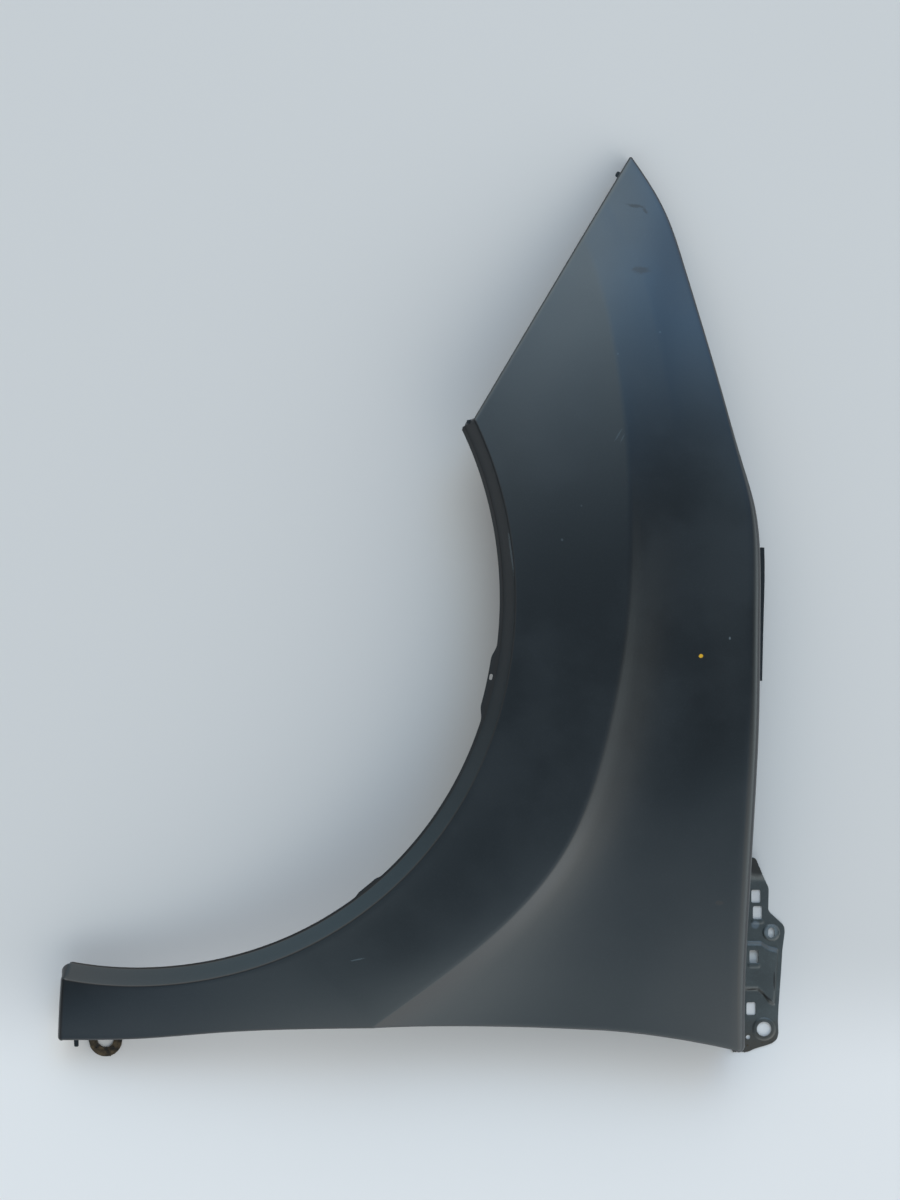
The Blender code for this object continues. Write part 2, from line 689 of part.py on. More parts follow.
def make_skin(parts, cutters):
    """The pressed skin with its folds, tabs and holes."""
    arch = flare_columns()[0]
    bm, places = skin_frame(arch)
    coating = make_material("black_primer", (0.018, 0.022, 0.026), 0.42, 0.0)
    skin = make_object("fender_panel", bm, parts, coating)
    thicken(skin, SHEET, -1)
    boolean(skin, edge_tabs(places, cutters), "UNION")
    boolean(skin, skin_holes(arch, places, cutters), "DIFFERENCE")
    return skin, places


def skin_holes(arch, places, cutters):
    """Cutters for the liner hole in the lip tab and the bolt slots in the hood flange."""
    bm = bmesh.new()
    radius = arch_radius(LINER_HOLE_SHARE) - LINER_TAB_WIDTH / 4
    x, y, _ = arch_point(LINER_HOLE_SHARE, radius, 0)
    matrix = facing(Vector((x, y, 0)), Vector((x, y, 0)).normalized())
    slot = rounded_slot(LINER_HOLE_WIDTH, LINER_HOLE_LENGTH, LINER_HOLE_WIDTH * SLOT_CORNER_SHARE)
    prism(bm, slot, CROWN_HEIGHT / 2, CROWN_HEIGHT, matrix)
    flange = places["flange"]
    for share in HOOD_SLOT_SHARES:
        point, away = by_length(flange, share)
        middle = point - away * HOOD_FLANGE_WIDTH / 2
        slot = rounded_slot(HOOD_SLOT_WIDTH, HOOD_SLOT_LENGTH, HOOD_SLOT_WIDTH * SLOT_CORNER_SHARE)
        prism(bm, slot, -CUT_OVERRUN, CUT_OVERRUN, facing(middle, away))
    return make_object("skin_holes", bm, cutters)


def bracket_outline(share):
    """Width of the bracket at a share of its length."""
    widths, lengths = zip(*BRACKET_OUTLINE_SHARES)
    return float(np.interp(share, lengths, widths)) * BRACKET_WIDTH


def pad_ends(width_share):
    """Shares of the length at which the pad starts and ends, at a share of the width."""
    return [float(np.interp(width_share, *zip(*table))) for table in (PAD_FRONT_SHARES, PAD_REAR_SHARES)]


def plate_point(share, width_share):
    """Share of the length and height of the plate, on a section that bends round the pad's ends."""
    place = float(np.interp(share, (0, *PAD_MIDDLE_SHARES, 1), (0, *pad_ends(width_share), 1)))
    if share < RAMP_END_SHARE:
        return place, RAMP_HEIGHT * (1 - share / RAMP_END_SHARE)
    ramp = PAD_RAMP / BRACKET_LENGTH
    rise = min(share - PAD_MIDDLE_SHARES[0], PAD_MIDDLE_SHARES[1] - share) / ramp
    return place, PAD_HEIGHT * min(1.0, max(0.0, rise))


def bracket_stations():
    """Sections of the bracket, as shares of its length beside the wall."""
    ramp = PAD_RAMP / BRACKET_LENGTH
    corners = {share for _, share in BRACKET_OUTLINE_SHARES} | {RAMP_END_SHARE, *PAD_MIDDLE_SHARES}
    return sorted(corners | {PAD_MIDDLE_SHARES[0] + ramp, PAD_MIDDLE_SHARES[1] - ramp})


def make_bracket(parts, cutters, places):
    """The pierced hinge pillar bracket, flat on the surface, with a flange welded to the hood wall."""
    rear = min(point.y for point, _ in places["hood"]) - BRACKET_REAR_OVERHANG
    front = rear + BRACKET_LENGTH
    origin = Vector((wall_x(places, rear + BRACKET_REAR_OVERHANG, 0), front, 0))
    bm = bmesh.new()
    columns = []
    for share in bracket_stations():
        y = front - plate_point(share, 0)[0] * BRACKET_LENGTH
        height = plate_point(share, 0)[1]
        y_weld = max(y, rear + BRACKET_REAR_OVERHANG)
        top = height + WELD_FLANGE_HEIGHT
        foot_x = wall_x(places, y_weld, height + BRACKET_BEND) + FIT_GAP
        column = [
            (wall_x(places, y_weld, top) + FIT_GAP, y, top),
            (foot_x, y, height + BRACKET_BEND),
            (foot_x + BRACKET_BEND * (1 - cos(pi / 4)), y, height + BRACKET_BEND * (1 - sin(pi / 4))),
            (foot_x + BRACKET_BEND, y, height),
        ]
        outer = origin.x + bracket_outline(plate_point(share, 1)[0])
        inner = outer - PAD_MARGIN - PAD_SIDE_RAMP
        crossings = [(blend(foot_x + BRACKET_BEND, inner, part), 1) for part in PLATE_COLUMN_SHARES]
        for x, raised in crossings + [(outer - PAD_MARGIN, 0), (outer, 0)]:
            place, rise = plate_point(share, (x - origin.x) / BRACKET_WIDTH)
            flat = share >= RAMP_END_SHARE and not raised
            column.append((x, front - place * BRACKET_LENGTH, 0.0 if flat else rise))
        columns.append(column)
    add_columns(bm, columns)
    face_up(bm)
    coating = make_material("black_primer_bracket", (0.022, 0.026, 0.03), 0.45, 0.0)
    bracket = make_object("hinge_pillar_bracket", bm, parts, coating)
    thicken(bracket, BRACKET_SHEET, 1)
    boolean(bracket, bracket_boss(origin, cutters), "UNION")
    boolean(bracket, bracket_holes(origin, cutters), "DIFFERENCE")
    return bracket


def bracket_place(origin, shares):
    """Plan position on the bracket from shares of its width and length."""
    return Matrix.Translation(origin + Vector((shares[0] * BRACKET_WIDTH, -shares[1] * BRACKET_LENGTH, 0)))


def bracket_boss(origin, cutters):
    """Raised seat round the bolt slot."""
    bm = bmesh.new()
    prism(bm, disc(BOSS_RADIUS), BRACKET_SHEET / 2, BRACKET_SHEET + BOSS_HEIGHT, bracket_place(origin, BOSS_SHARES))
    return make_object("bracket_boss", bm, cutters)


def bracket_holes(origin, cutters):
    """Cutters for the bracket's windows, bolt slot and round holes."""
    bm = bmesh.new()
    top = PAD_HEIGHT + BRACKET_SHEET + BOSS_HEIGHT + CUT_OVERRUN
    holes = [(shares, rounded_slot(WINDOW_WIDTH, WINDOW_LENGTH, WINDOW_CORNER)) for shares in WINDOW_SHARES]
    holes.append((BOSS_SHARES, rounded_slot(BOSS_SLOT_WIDTH, BOSS_SLOT_LENGTH, BOSS_SLOT_WIDTH * SLOT_CORNER_SHARE)))
    holes.append((LOCATING_HOLE_SHARES, disc(LOCATING_HOLE_RADIUS)))
    holes.append((PILOT_HOLE_SHARES, disc(PILOT_HOLE_RADIUS)))
    for shares, outline in holes:
        prism(bm, outline, -CUT_OVERRUN, top, bracket_place(origin, shares))
    return make_object("bracket_holes", bm, cutters)


def make_ear(parts, cutters, places):
    """The lower mounting ear: a strap inside the door flange that turns out into a ring."""
    corner = places["door"][0][0]
    left, seat, right = (at_x(places["door"], corner.x + EAR_FROM_SILL_CORNER + side * EAR_RADIUS)
                         for side in (-1, 0, 1))
    edge = (right - left).to_2d().normalized()
    frame = facing(Vector((seat.x, seat.y, 0)), Vector((edge.y, -edge.x, 0)))
    plane = -SHEET - FIT_GAP - EAR_SHEET
    profile = [(plane, EAR_LEG_HEIGHT), (plane, EAR_BEND)]
    for k in range(1, BEND_STEPS + 1):
        angle = k * pi / 2 / BEND_STEPS
        profile.append((plane + EAR_BEND * (1 - cos(angle)), EAR_BEND * (1 - sin(angle))))
    profile.append((EAR_OVERHANG, 0.0))
    bm = bmesh.new()
    columns = [[frame @ Vector((x, side * EAR_RADIUS, z)) for x, z in profile] for side in (-1, 0, 1)]
    grid = add_columns(bm, columns)
    steps = ROUND_STEPS // 2
    ring = [Vector((EAR_OVERHANG + EAR_RADIUS * sin(pi * k / steps), -EAR_RADIUS * cos(pi * k / steps), 0))
            for k in range(1, steps)]
    ring = [bm.verts.new(frame @ point) for point in ring]
    bm.faces.new([grid[0][-1], *ring, grid[2][-1], grid[1][-1]])
    face_up(bm)
    soiled = make_material("soiled_primer", (0.045, 0.037, 0.025), 0.8, 0.0)
    ear = make_object("lower_ear", bm, parts, soiled)
    thicken(ear, EAR_SHEET, 1)
    hole = bmesh.new()
    place = frame @ Matrix.Translation((EAR_OVERHANG, 0, 0))
    prism(hole, disc(EAR_HOLE_RADIUS), -CUT_OVERRUN, EAR_SHEET + CUT_OVERRUN, place)
    boolean(ear, make_object("ear_hole", hole, cutters), "DIFFERENCE")
    return ear


def centre_model(items):
    """Move every object so that the middle of the pieces' box base is the origin."""
    bpy.context.view_layer.update()
    graph = bpy.context.evaluated_depsgraph_get()
    points = []
    for item in items:
        mesh = item.evaluated_get(graph).data
        points += [item.matrix_world @ vertex.co for vertex in mesh.vertices]
    lows = [min(point[axis] for point in points) for axis in range(3)]
    highs = [max(point[axis] for point in points) for axis in range(3)]
    shift = Vector(((lows[0] + highs[0]) / 2, (lows[1] + highs[1]) / 2, lows[2]))
    for item in bpy.data.objects:
        item.location -= shift


def main():
    """Build the fender."""
    parts, cutters = start_model()
    skin, places = make_skin(parts, cutters)
    bracket = make_bracket(parts, cutters, places)
    ear = make_ear(parts, cutters, places)
    centre_model([skin, bracket, ear])


main()
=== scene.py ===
"""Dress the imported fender: a finely pressed skin, its hinge pillar bracket and lower ear, in dark primer.

Every piece is set out from the wheel centre, as the pressing is, and then moved to where its CAD node lies.
X runs towards the hood edge, Y towards the headlamp and Z out of the painted side, in metres.
"""
import logging
from collections.abc import Sequence
from dataclasses import dataclass, field
from enum import Enum
from math import atan2, cos, hypot, pi, radians, sin, tan

import bmesh
import bpy
import numpy as np
from mathutils import Matrix, Vector


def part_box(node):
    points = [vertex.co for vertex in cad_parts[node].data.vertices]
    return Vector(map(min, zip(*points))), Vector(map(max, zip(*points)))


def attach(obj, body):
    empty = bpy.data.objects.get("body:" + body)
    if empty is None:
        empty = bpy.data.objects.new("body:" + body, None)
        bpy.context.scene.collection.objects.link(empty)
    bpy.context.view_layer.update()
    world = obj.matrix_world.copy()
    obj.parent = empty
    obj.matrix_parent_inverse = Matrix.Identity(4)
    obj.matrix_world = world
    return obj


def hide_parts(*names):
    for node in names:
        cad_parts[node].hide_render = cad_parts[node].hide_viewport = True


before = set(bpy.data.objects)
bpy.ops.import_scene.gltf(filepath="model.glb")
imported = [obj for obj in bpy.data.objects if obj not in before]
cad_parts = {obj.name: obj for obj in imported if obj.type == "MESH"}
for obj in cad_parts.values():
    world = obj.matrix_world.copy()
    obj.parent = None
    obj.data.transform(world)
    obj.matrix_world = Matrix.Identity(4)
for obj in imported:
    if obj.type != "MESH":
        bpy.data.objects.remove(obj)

# A station is a point of an edge and the plan direction off the skin there.
Station = tuple[np.ndarray, np.ndarray]
Pairs = tuple[tuple[float, float], ...]
Socket = bpy.types.NodeSocket
Tree = bpy.types.NodeTree

LOG = logging.getLogger("fender")
BODY = "root"
SHARP_ANGLE = radians(38)


class Slot(Enum):
    """The record's material slots."""

    PANEL = "black_primer"
    BRACKET = "black_primer_bracket"
    EAR = "soiled_primer"


def linear(hex_colour: str) -> tuple[float, float, float, float]:
    """Turn an sRGB hex colour into the linear colour that a shader takes.

    Args:
        hex_colour: Six hex digits, with or without a leading hash.

    Returns:
        Red, green, blue and an alpha of 1.
    """
    digits = hex_colour.lstrip("#")
    channels = [int(digits[k:k + 2], 16) / 255 for k in (0, 2, 4)]
    return (*(c / 12.92 if c <= 0.04045 else ((c + 0.055) / 1.055) ** 2.4 for c in channels), 1.0)


def natural_cubic(knots: np.ndarray, values: np.ndarray, places: np.ndarray) -> np.ndarray:
    """Read a natural cubic curve.

    Args:
        knots: Rising places of the given rows.
        values: One row of numbers for each knot.
        places: Where to read the curve.

    Returns:
        One row for each place.
    """
    spans = np.diff(knots)
    matrix = np.eye(len(knots))
    right = np.zeros(values.shape)
    for k in range(1, len(knots) - 1):
        matrix[k, k - 1:k + 2] = spans[k - 1], 2 * (spans[k - 1] + spans[k]), spans[k]
        right[k] = 6 * ((values[k + 1] - values[k]) / spans[k] - (values[k] - values[k - 1]) / spans[k - 1])
    bends = np.linalg.solve(matrix, right)
    k = np.clip(np.searchsorted(knots, places) - 1, 0, len(spans) - 1)
    after = ((places - knots[k]) / spans[k])[:, None]
    before = 1 - after
    cubic = (before ** 3 - before) * bends[k] + (after ** 3 - after) * bends[k + 1]
    return before * values[k] + after * values[k + 1] + cubic * spans[k][:, None] ** 2 / 6


def even_curve(values: Sequence[float], fractions: np.ndarray) -> np.ndarray:
    """Read a smooth curve through evenly spaced values at fractions of its length."""
    column = np.array(values, float).reshape(-1, 1)
    return natural_cubic(np.linspace(0, 1, len(values)), column, np.asarray(fractions, float))[:, 0]


def smooth_step(value: np.ndarray) -> np.ndarray:
    """Turn a value from 0 to 1 into a soft step."""
    t = np.clip(value, 0.0, 1.0)
    return t * t * (3 - 2 * t)


def distance_to_path(x: np.ndarray, y: np.ndarray, path: Sequence[tuple[float, float]]) -> np.ndarray:
    """Distance in plan from each place to a bent line.

    Args:
        x: Places across.
        y: Places along.
        path: Corners of the line.

    Returns:
        The distances, in the unit of the places.
    """
    best = np.full(np.shape(x), np.inf)
    for (ax, ay), (bx, by) in zip(path, path[1:]):
        length = max((bx - ax) ** 2 + (by - ay) ** 2, 1e-12)
        t = np.clip(((x - ax) * (bx - ax) + (y - ay) * (by - ay)) / length, 0, 1)
        best = np.minimum(best, np.hypot(x - ax - t * (bx - ax), y - ay - t * (by - ay)))
    return best


def link_object(name: str, data: bpy.types.ID) -> bpy.types.Object:
    """Make an object of a mesh or camera and link it to the scene."""
    item = bpy.data.objects.new(name, data)
    bpy.context.scene.collection.objects.link(item)
    return item


class Side(Enum):
    """The sides of the pressing, in the order in which a fold runs round them."""

    ARCH = "wheel arch"
    SILL = "sill end"
    DOOR = "door edge"
    HOOD = "hood edge"
    HEADLAMP = "headlamp edge"


@dataclass(frozen=True)
class Fold:
    """One way to bend the sheet on from an edge."""

    lean: float
    bend: float
    run: float

    def towards(self, other: "Fold", share: float) -> "Fold":
        """A fold part of the way to another one."""
        mix = [a + (b - a) * share for a, b in
               ((self.lean, other.lean), (self.bend, other.bend), (self.run, other.run))]
        return Fold(*mix)


@dataclass
class Rim:
    """One station of an edge: its vertex, the plan direction off the skin and the sheet's fall there."""

    vertex: int
    away: np.ndarray
    fall: float


@dataclass
class SheetMesh:
    """A sheet of steel as points and faces, before it gets its thickness."""

    points: list[np.ndarray] = field(default_factory=list)
    faces: list[tuple[int, ...]] = field(default_factory=list)

    def add(self, point: Sequence[float]) -> int:
        """Add a point and return its number."""
        self.points.append(np.array(point, float))
        return len(self.points) - 1

    def grid(self, columns: np.ndarray, first: list[int] | None = None) -> list[list[int]]:
        """Add columns of points with quads between them.

        Args:
            columns: Points as columns, rows and coordinates.
            first: Vertices to use for the first row in place of new ones.

        Returns:
            The vertices of each column.
        """
        numbers = []
        for i, column in enumerate(columns):
            start = [first[i]] if first else []
            numbers.append(start + [self.add(point) for point in column[len(start):]])
        for left, right in zip(numbers, numbers[1:]):
            for j in range(len(left) - 1):
                self.faces.append((left[j], left[j + 1], right[j + 1], right[j]))
        return numbers

    def fold(self, rims: list[Rim], folds: list[Fold], steps: int, runs: int = 1,
             closed: bool = False) -> list[Rim]:
        """Bend the sheet on from its rims.

        Args:
            rims: Stations along the edge.
            folds: The fold at each station.
            steps: Facets in the bend.
            runs: Facets in the straight run after it.
            closed: Whether the last station joins the first.

        Returns:
            The rims at the new edge.
        """
        strips: list[list[int]] = []
        ends: list[Rim] = []
        for rim, bent in zip(rims, folds):
            turn = (bent.lean - rim.fall) / steps
            chord = 2 * bent.bend * abs(sin(turn / 2))
            moves = [(rim.fall + turn * (k + 0.5), chord) for k in range(steps)]
            moves += [(bent.lean, bent.run / runs)] * runs
            place = self.points[rim.vertex].copy()
            strip = [rim.vertex]
            for angle, length in moves:
                place = place + (rim.away * cos(angle) - np.array((0, 0, sin(angle)))) * length
                strip.append(self.add(place))
            strips.append(strip)
            ends.append(Rim(strip[-1], rim.away, bent.lean))
        pairs = list(zip(strips, strips[1:])) + ([(strips[-1], strips[0])] if closed else [])
        for left, right in pairs:
            for j in range(len(left) - 1):
                corners = [left[j], left[j + 1], right[j + 1], right[j]]
                self.faces.append(tuple(corners[:3] if corners[0] == corners[3] else corners))
        return ends

    def prism(self, outline: Sequence[tuple[float, float]], low: float, high: float,
              origin: Sequence[float] = (0, 0, 0), across: Sequence[float] = (1, 0, 0)) -> None:
        """Add a closed prism over a flat outline.

        Args:
            outline: Corners about the prism's own middle, anticlockwise.
            low: Height of its underside above the origin.
            high: Height of its top.
            origin: Where its middle stands.
            across: Plan direction of the outline's own X.
        """
        ax, ay = across[0], across[1]
        x, y, z = origin
        rings = []
        for height in (low, high):
            rings.append([self.add((x + ax * u - ay * v, y + ay * u + ax * v, z + height))
                          for u, v in outline])
        self.faces.append(tuple(rings[0][::-1]))
        self.faces.append(tuple(rings[1]))
        count = len(outline)
        for k in range(count):
            n = (k + 1) % count
            self.faces.append((rings[0][k], rings[0][n], rings[1][n], rings[1][k]))

    def to_object(self, name: str) -> bpy.types.Object:
        """Make a linked object, with an open sheet's faces turned to point up."""
        mesh = bpy.data.meshes.new(name)
        bm = bmesh.new()
        verts = [bm.verts.new(point) for point in self.points]
        for face in self.faces:
            bm.faces.new([verts[k] for k in face])
        bmesh.ops.recalc_face_normals(bm, faces=bm.faces)
        is_open = any(edge.is_boundary for edge in bm.edges)
        if is_open and sum(face.normal.z * face.calc_area() for face in bm.faces) < 0:
            bmesh.ops.reverse_faces(bm, faces=bm.faces)
        bm.to_mesh(mesh)
        bm.free()
        return link_object(name, mesh)

    def stations(self, rims: list[Rim]) -> list[Station]:
        """The point and plan direction of each rim."""
        return [(self.points[rim.vertex].copy(), rim.away) for rim in rims]


def slot_outline(width: float, length: float, corner: float, steps: int = 6) -> list[tuple[float, float]]:
    """Outline of a slot along Y with rounded corners, about its own middle.

    Args:
        width: Size along X.
        length: Size along Y.
        corner: Radius of the corners.
        steps: Facets in each corner.

    Returns:
        Its corners, anticlockwise.
    """
    points = []
    for turn, (sx, sy) in enumerate(((1, 1), (-1, 1), (-1, -1), (1, -1))):
        for k in range(steps + 1):
            angle = (turn + k / steps) * pi / 2
            points.append((sx * (width / 2 - corner) + corner * cos(angle),
                           sy * (length / 2 - corner) + corner * sin(angle)))
    return points


def disc_outline(radius: float, steps: int = 40) -> list[tuple[float, float]]:
    """Outline of a circle about its own middle."""
    return [(radius * cos(2 * pi * k / steps), radius * sin(2 * pi * k / steps)) for k in range(steps)]


def finish_sheet(item: bpy.types.Object, thickness: float, offset: float,
                 cutters: Sequence[bpy.types.Object] = (),
                 added: Sequence[bpy.types.Object] = ()) -> bpy.types.Object:
    """Give a sheet its thickness, join and cut it, and turn it into a plain smooth-shaded mesh.

    Args:
        item: The open sheet.
        thickness: Thickness of the steel.
        offset: -1 for steel below the faces, 1 for steel above them.
        cutters: Solids to cut away.
        added: Solids to join on first.

    Returns:
        The finished object, under the sheet's name.
    """
    solid = item.modifiers.new("sheet", "SOLIDIFY")
    solid.thickness = thickness
    solid.offset = offset
    solid.use_even_offset = True
    solid.use_quality_normals = True
    for operation, tools in (("UNION", added), ("DIFFERENCE", cutters)):
        for tool in tools:
            step = item.modifiers.new(operation.lower(), "BOOLEAN")
            step.object = tool
            step.operation = operation
            step.solver = "EXACT"
    bpy.context.view_layer.update()
    mesh = bpy.data.meshes.new_from_object(item.evaluated_get(bpy.context.evaluated_depsgraph_get()))
    name = item.name
    for used in (item, *cutters, *added):
        bpy.data.objects.remove(used)
    mesh.name = name
    mesh.shade_smooth()
    mesh.set_sharp_from_angle(angle=SHARP_ANGLE)
    return link_object(name, mesh)


def place_by_length(places: list[Station], share: float) -> Station:
    """The point and plan direction at a share of the length of an edge."""
    points = np.array([point for point, _ in places])
    lengths = np.concatenate(([0], np.cumsum(np.linalg.norm(np.diff(points, axis=0), axis=1))))
    goal = share * lengths[-1]
    point = np.array([np.interp(goal, lengths, points[:, axis]) for axis in range(3)])
    return point, places[int(np.clip(np.searchsorted(lengths, goal) - 1, 0, len(places) - 1))][1]


def place_at_x(places: list[Station], x: float) -> np.ndarray:
    """The point at a given X of an edge that runs along X."""
    points = np.array([point for point, _ in places])
    return np.array((x, *(np.interp(x, points[:, 0], points[:, axis]) for axis in (1, 2))))


@dataclass(frozen=True)
class FeatureLine:
    """A line of the pressing, front to rear, with the skin's rise per run where it arrives and leaves."""

    shares: tuple[tuple[float, ...], ...]

    def at(self, fractions: np.ndarray, scale: tuple[float, float, float]) -> np.ndarray:
        """Read the line at fractions of its plan length.

        Args:
            fractions: From 0 at the front to 1 at the rear.
            scale: Panel height, panel length and crown height.

        Returns:
            Rows of x, y, z and the two slopes.
        """
        rows = np.array(self.shares) * (*scale, 1, 1)
        chords = np.linalg.norm(np.diff(rows[:, :2], axis=0), axis=1)
        knots = np.concatenate(([0], np.cumsum(chords))) / chords.sum()
        return natural_cubic(knots, rows, np.asarray(fractions, float))


RIDGE = FeatureLine((
    (0.649, 0.4, 0.41, -0.22, -0.27), (0.676, 0.325, 0.57, -0.17, -0.235),
    (0.693, 0.247, 0.7, -0.12, -0.225), (0.705, 0.159, 0.81, -0.08, -0.245),
    (0.708, 0.062, 0.89, -0.055, -0.28), (0.701, -0.035, 0.935, -0.035, -0.305),
    (0.675, -0.147, 0.96, -0.025, -0.305), (0.62, -0.266, 0.965, -0.03, -0.295),
    (0.533, -0.35, 0.93, -0.055, -0.26), (0.443, -0.409, 0.865, -0.11, -0.21),
    (0.35, -0.464, 0.75, -0.155, -0.165)))
HOLLOW = FeatureLine((
    (0.681, 0.442, 0.305, -0.285, -0.285), (0.728, 0.361, 0.47, -0.27, -0.27),
    (0.754, 0.276, 0.61, -0.25, -0.25), (0.771, 0.182, 0.725, -0.2, -0.2),
    (0.784, 0.095, 0.78, -0.12, -0.12), (0.791, -0.002, 0.815, -0.02, -0.02),
    (0.788, -0.11, 0.84, 0.05, 0.05), (0.774, -0.218, 0.84, 0.01, 0.01),
    (0.75, -0.315, 0.805, -0.03, -0.03), (0.714, -0.402, 0.755, -0.01, -0.01),
    (0.675, -0.468, 0.69, 0.005, 0.005)))
SHOULDER = FeatureLine((
    (0.7185, 0.491, 0.19, -0.295, -0.295), (0.762, 0.432, 0.295, -0.285, -0.285),
    (0.789, 0.368, 0.4, -0.27, -0.27), (0.811, 0.304, 0.51, -0.25, -0.25),
    (0.838, 0.223, 0.63, -0.195, -0.195), (0.862, 0.145, 0.715, -0.13, -0.13),
    (0.875, 0.095, 0.765, -0.08, -0.08), (0.877, 0.041, 0.81, -0.03, -0.03),
    (0.8745, -0.024, 0.855, 0.02, 0.02), (0.871, -0.131, 0.895, 0.065, 0.065),
    (0.866, -0.239, 0.845, 0.065, 0.065), (0.861, -0.348, 0.765, 0.0, 0.0),
    (0.86, -0.437, 0.68, -0.075, -0.075), (0.862, -0.492, 0.62, -0.135, -0.135)))
DOOR = FeatureLine((
    (0.35, -0.464, 0.75, -0.155, -0.17), (0.246, -0.467, 0.68, -0.145, -0.16),
    (0.132, -0.473, 0.59, -0.145, -0.14), (0.016, -0.483, 0.465, -0.17, -0.1),
    (-0.099, -0.488, 0.34, -0.195, -0.06)))


@dataclass
class PressedSkin:
    """The outer pressing: flare, ridge, hollow, shoulder, arch lip and the folds round its outline.

    A pair of sizes goes from the front to the rear of the arch. Slots are width, length and corner
    radius. Liner tabs are their share of the arch, extra width and length, and locating tabs end with
    their width and reach.
    """

    length: float = 0.923
    height: float = 0.713
    crown: float = 0.112
    sheet: float = 0.0008
    arch_radius: float = 0.3765
    arch_front: float = radians(26.9)
    arch_rear: float = radians(-99.7)
    arch_swell: float = 0.0016
    arch_swells: tuple[float, ...] = (1, -0.5, -0.6, 0.5, 0.8, 0, -0.6, 1)
    crease_heights: tuple[float, ...] = (0.77, 0.895, 0.96, 0.97, 0.93, 0.82, 0.63, 0.395)
    crease_slopes: tuple[float, ...] = (-0.14, -0.05, -0.02, -0.01, -0.025, -0.055, -0.06, 0)
    arch_share: float = 0.71
    lip_reach: tuple[float, float] = (0.012, 0.0155)
    lip_depth: float = 0.014
    lip_bend: float = 0.003
    return_width: tuple[float, float] = (0.0042, 0.002)
    return_bend: float = 0.0012
    return_lean: float = radians(12)
    return_corner: float = 0.45
    liner_tab: tuple[float, float, float] = (0.315, 0.0042, 0.078)
    rear_tab: tuple[float, float, float] = (0.605, 0.0018, 0.034)
    tab_fade: float = 0.2
    liner_hole: float = 0.308
    liner_slot: tuple[float, float, float] = (0.003, 0.006, 0.00147)
    edge: Fold = Fold(radians(90), 0.0025, 0.012)
    sill: Fold = Fold(radians(90), 0.007, 0.013)
    hood_lean: float = radians(94)
    hood_bends: tuple[float, float] = (0.003, 0.0115)
    hood_rolls: tuple[float, ...] = (0, 0, 0, 0.02, 0.3, 0.9, 1, 1, 1, 1, 0.95, 0.85)
    foot_places: tuple[float, ...] = (0, 0.03, 0.14, 0.43, 0.62, 0.74, 1)
    foot_rises: tuple[float, ...] = (0, 0.14, 0.45, 1, 1)
    wall_foot: float = 0.004
    flange_height: float = 0.022
    flange_width: float = 0.0175
    flange_bend: float = 0.002
    flange_length: float = 0.141
    flange_set_back: float = 0.401
    flange_slot: tuple[float, float, float] = (0.007, 0.011, 0.00343)
    flange_slots: tuple[float, float] = (0.2, 0.8)
    cut: float = 0.004
    softness: float = 0.005
    tab_sheet: float = 0.0012
    tab_corner: float = 0.3
    front_tab: tuple[float, float, float] = (0.065, 0.006, 0.0035)
    lip_end_tab: tuple[float, float] = (0.004, 0.0035)
    sill_tab: tuple[float, float, float] = (0.012, 0.0045, 0.009)
    door_bows: tuple[float, float] = (0.0021, 0.0034)
    fair_from: int = 8
    fair_passes: int = 10
    columns: int = 230
    sill_columns: int = 90
    flare_rows: int = 17
    soft_rows: int = 6
    hollow_rows: int = 14
    shoulder_rows: int = 15
    bend_steps: int = 8
    small_bend_steps: int = 5
    places: dict[Side, list[Station]] = field(default_factory=dict)
    flange: list[Station] = field(default_factory=list)

    @property
    def scale(self) -> tuple[float, float, float]:
        """The sizes that the shares of a feature line are of."""
        return self.height, self.length, self.crown

    def flange_ends(self) -> tuple[float, float]:
        """Y of the front and rear ends of the hood flange."""
        front = SHOULDER.shares[0][1] * self.length - self.flange_set_back
        return front, front - self.flange_length

    def long_fractions(self) -> np.ndarray:
        """Places of the columns along the long lines, with one at each end of the hood flange."""
        fine = np.linspace(0, 1, 4000)
        ys = SHOULDER.at(fine, self.scale)[:, 1]
        stops = (0, *(float(np.interp(-y, -ys, fine)) for y in self.flange_ends()), 1)
        places = [np.zeros(1)]
        for start, stop in zip(stops, stops[1:]):
            places.append(np.linspace(start, stop, round((stop - start) * self.columns) + 1)[1:])
        return np.concatenate(places)

    @staticmethod
    def between(pair: tuple[float, float], fraction: np.ndarray | float) -> np.ndarray | float:
        """A size that changes evenly along the arch."""
        return pair[0] + (pair[1] - pair[0]) * fraction

    def arch_point(self, fraction: float, radius: float, height: float = 0.0) -> np.ndarray:
        """A point about the wheel centre, part of the way along the arch."""
        angle = self.arch_front + (self.arch_rear - self.arch_front) * fraction
        return np.array((radius * cos(angle), radius * sin(angle), height))

    def inner_radius(self, fraction: float) -> float:
        """Radius of the lip's inner edge."""
        return self.arch_radius + self.arch_swell * even_curve(self.arch_swells, np.array([fraction]))[0]

    def crease(self, fractions: np.ndarray) -> np.ndarray:
        """Rows for the crease where the skin turns down into the lip."""
        heights = even_curve(self.crease_heights, fractions) * self.crown
        slopes = even_curve(self.crease_slopes, fractions)
        rows = []
        for fraction, height, slope in zip(fractions, heights, slopes):
            radius = (self.inner_radius(fraction) + self.between(self.return_width, fraction)
                      + self.between(self.lip_reach, fraction))
            rows.append((*self.arch_point(fraction, radius, height), slope, slope))
        return np.array(rows)

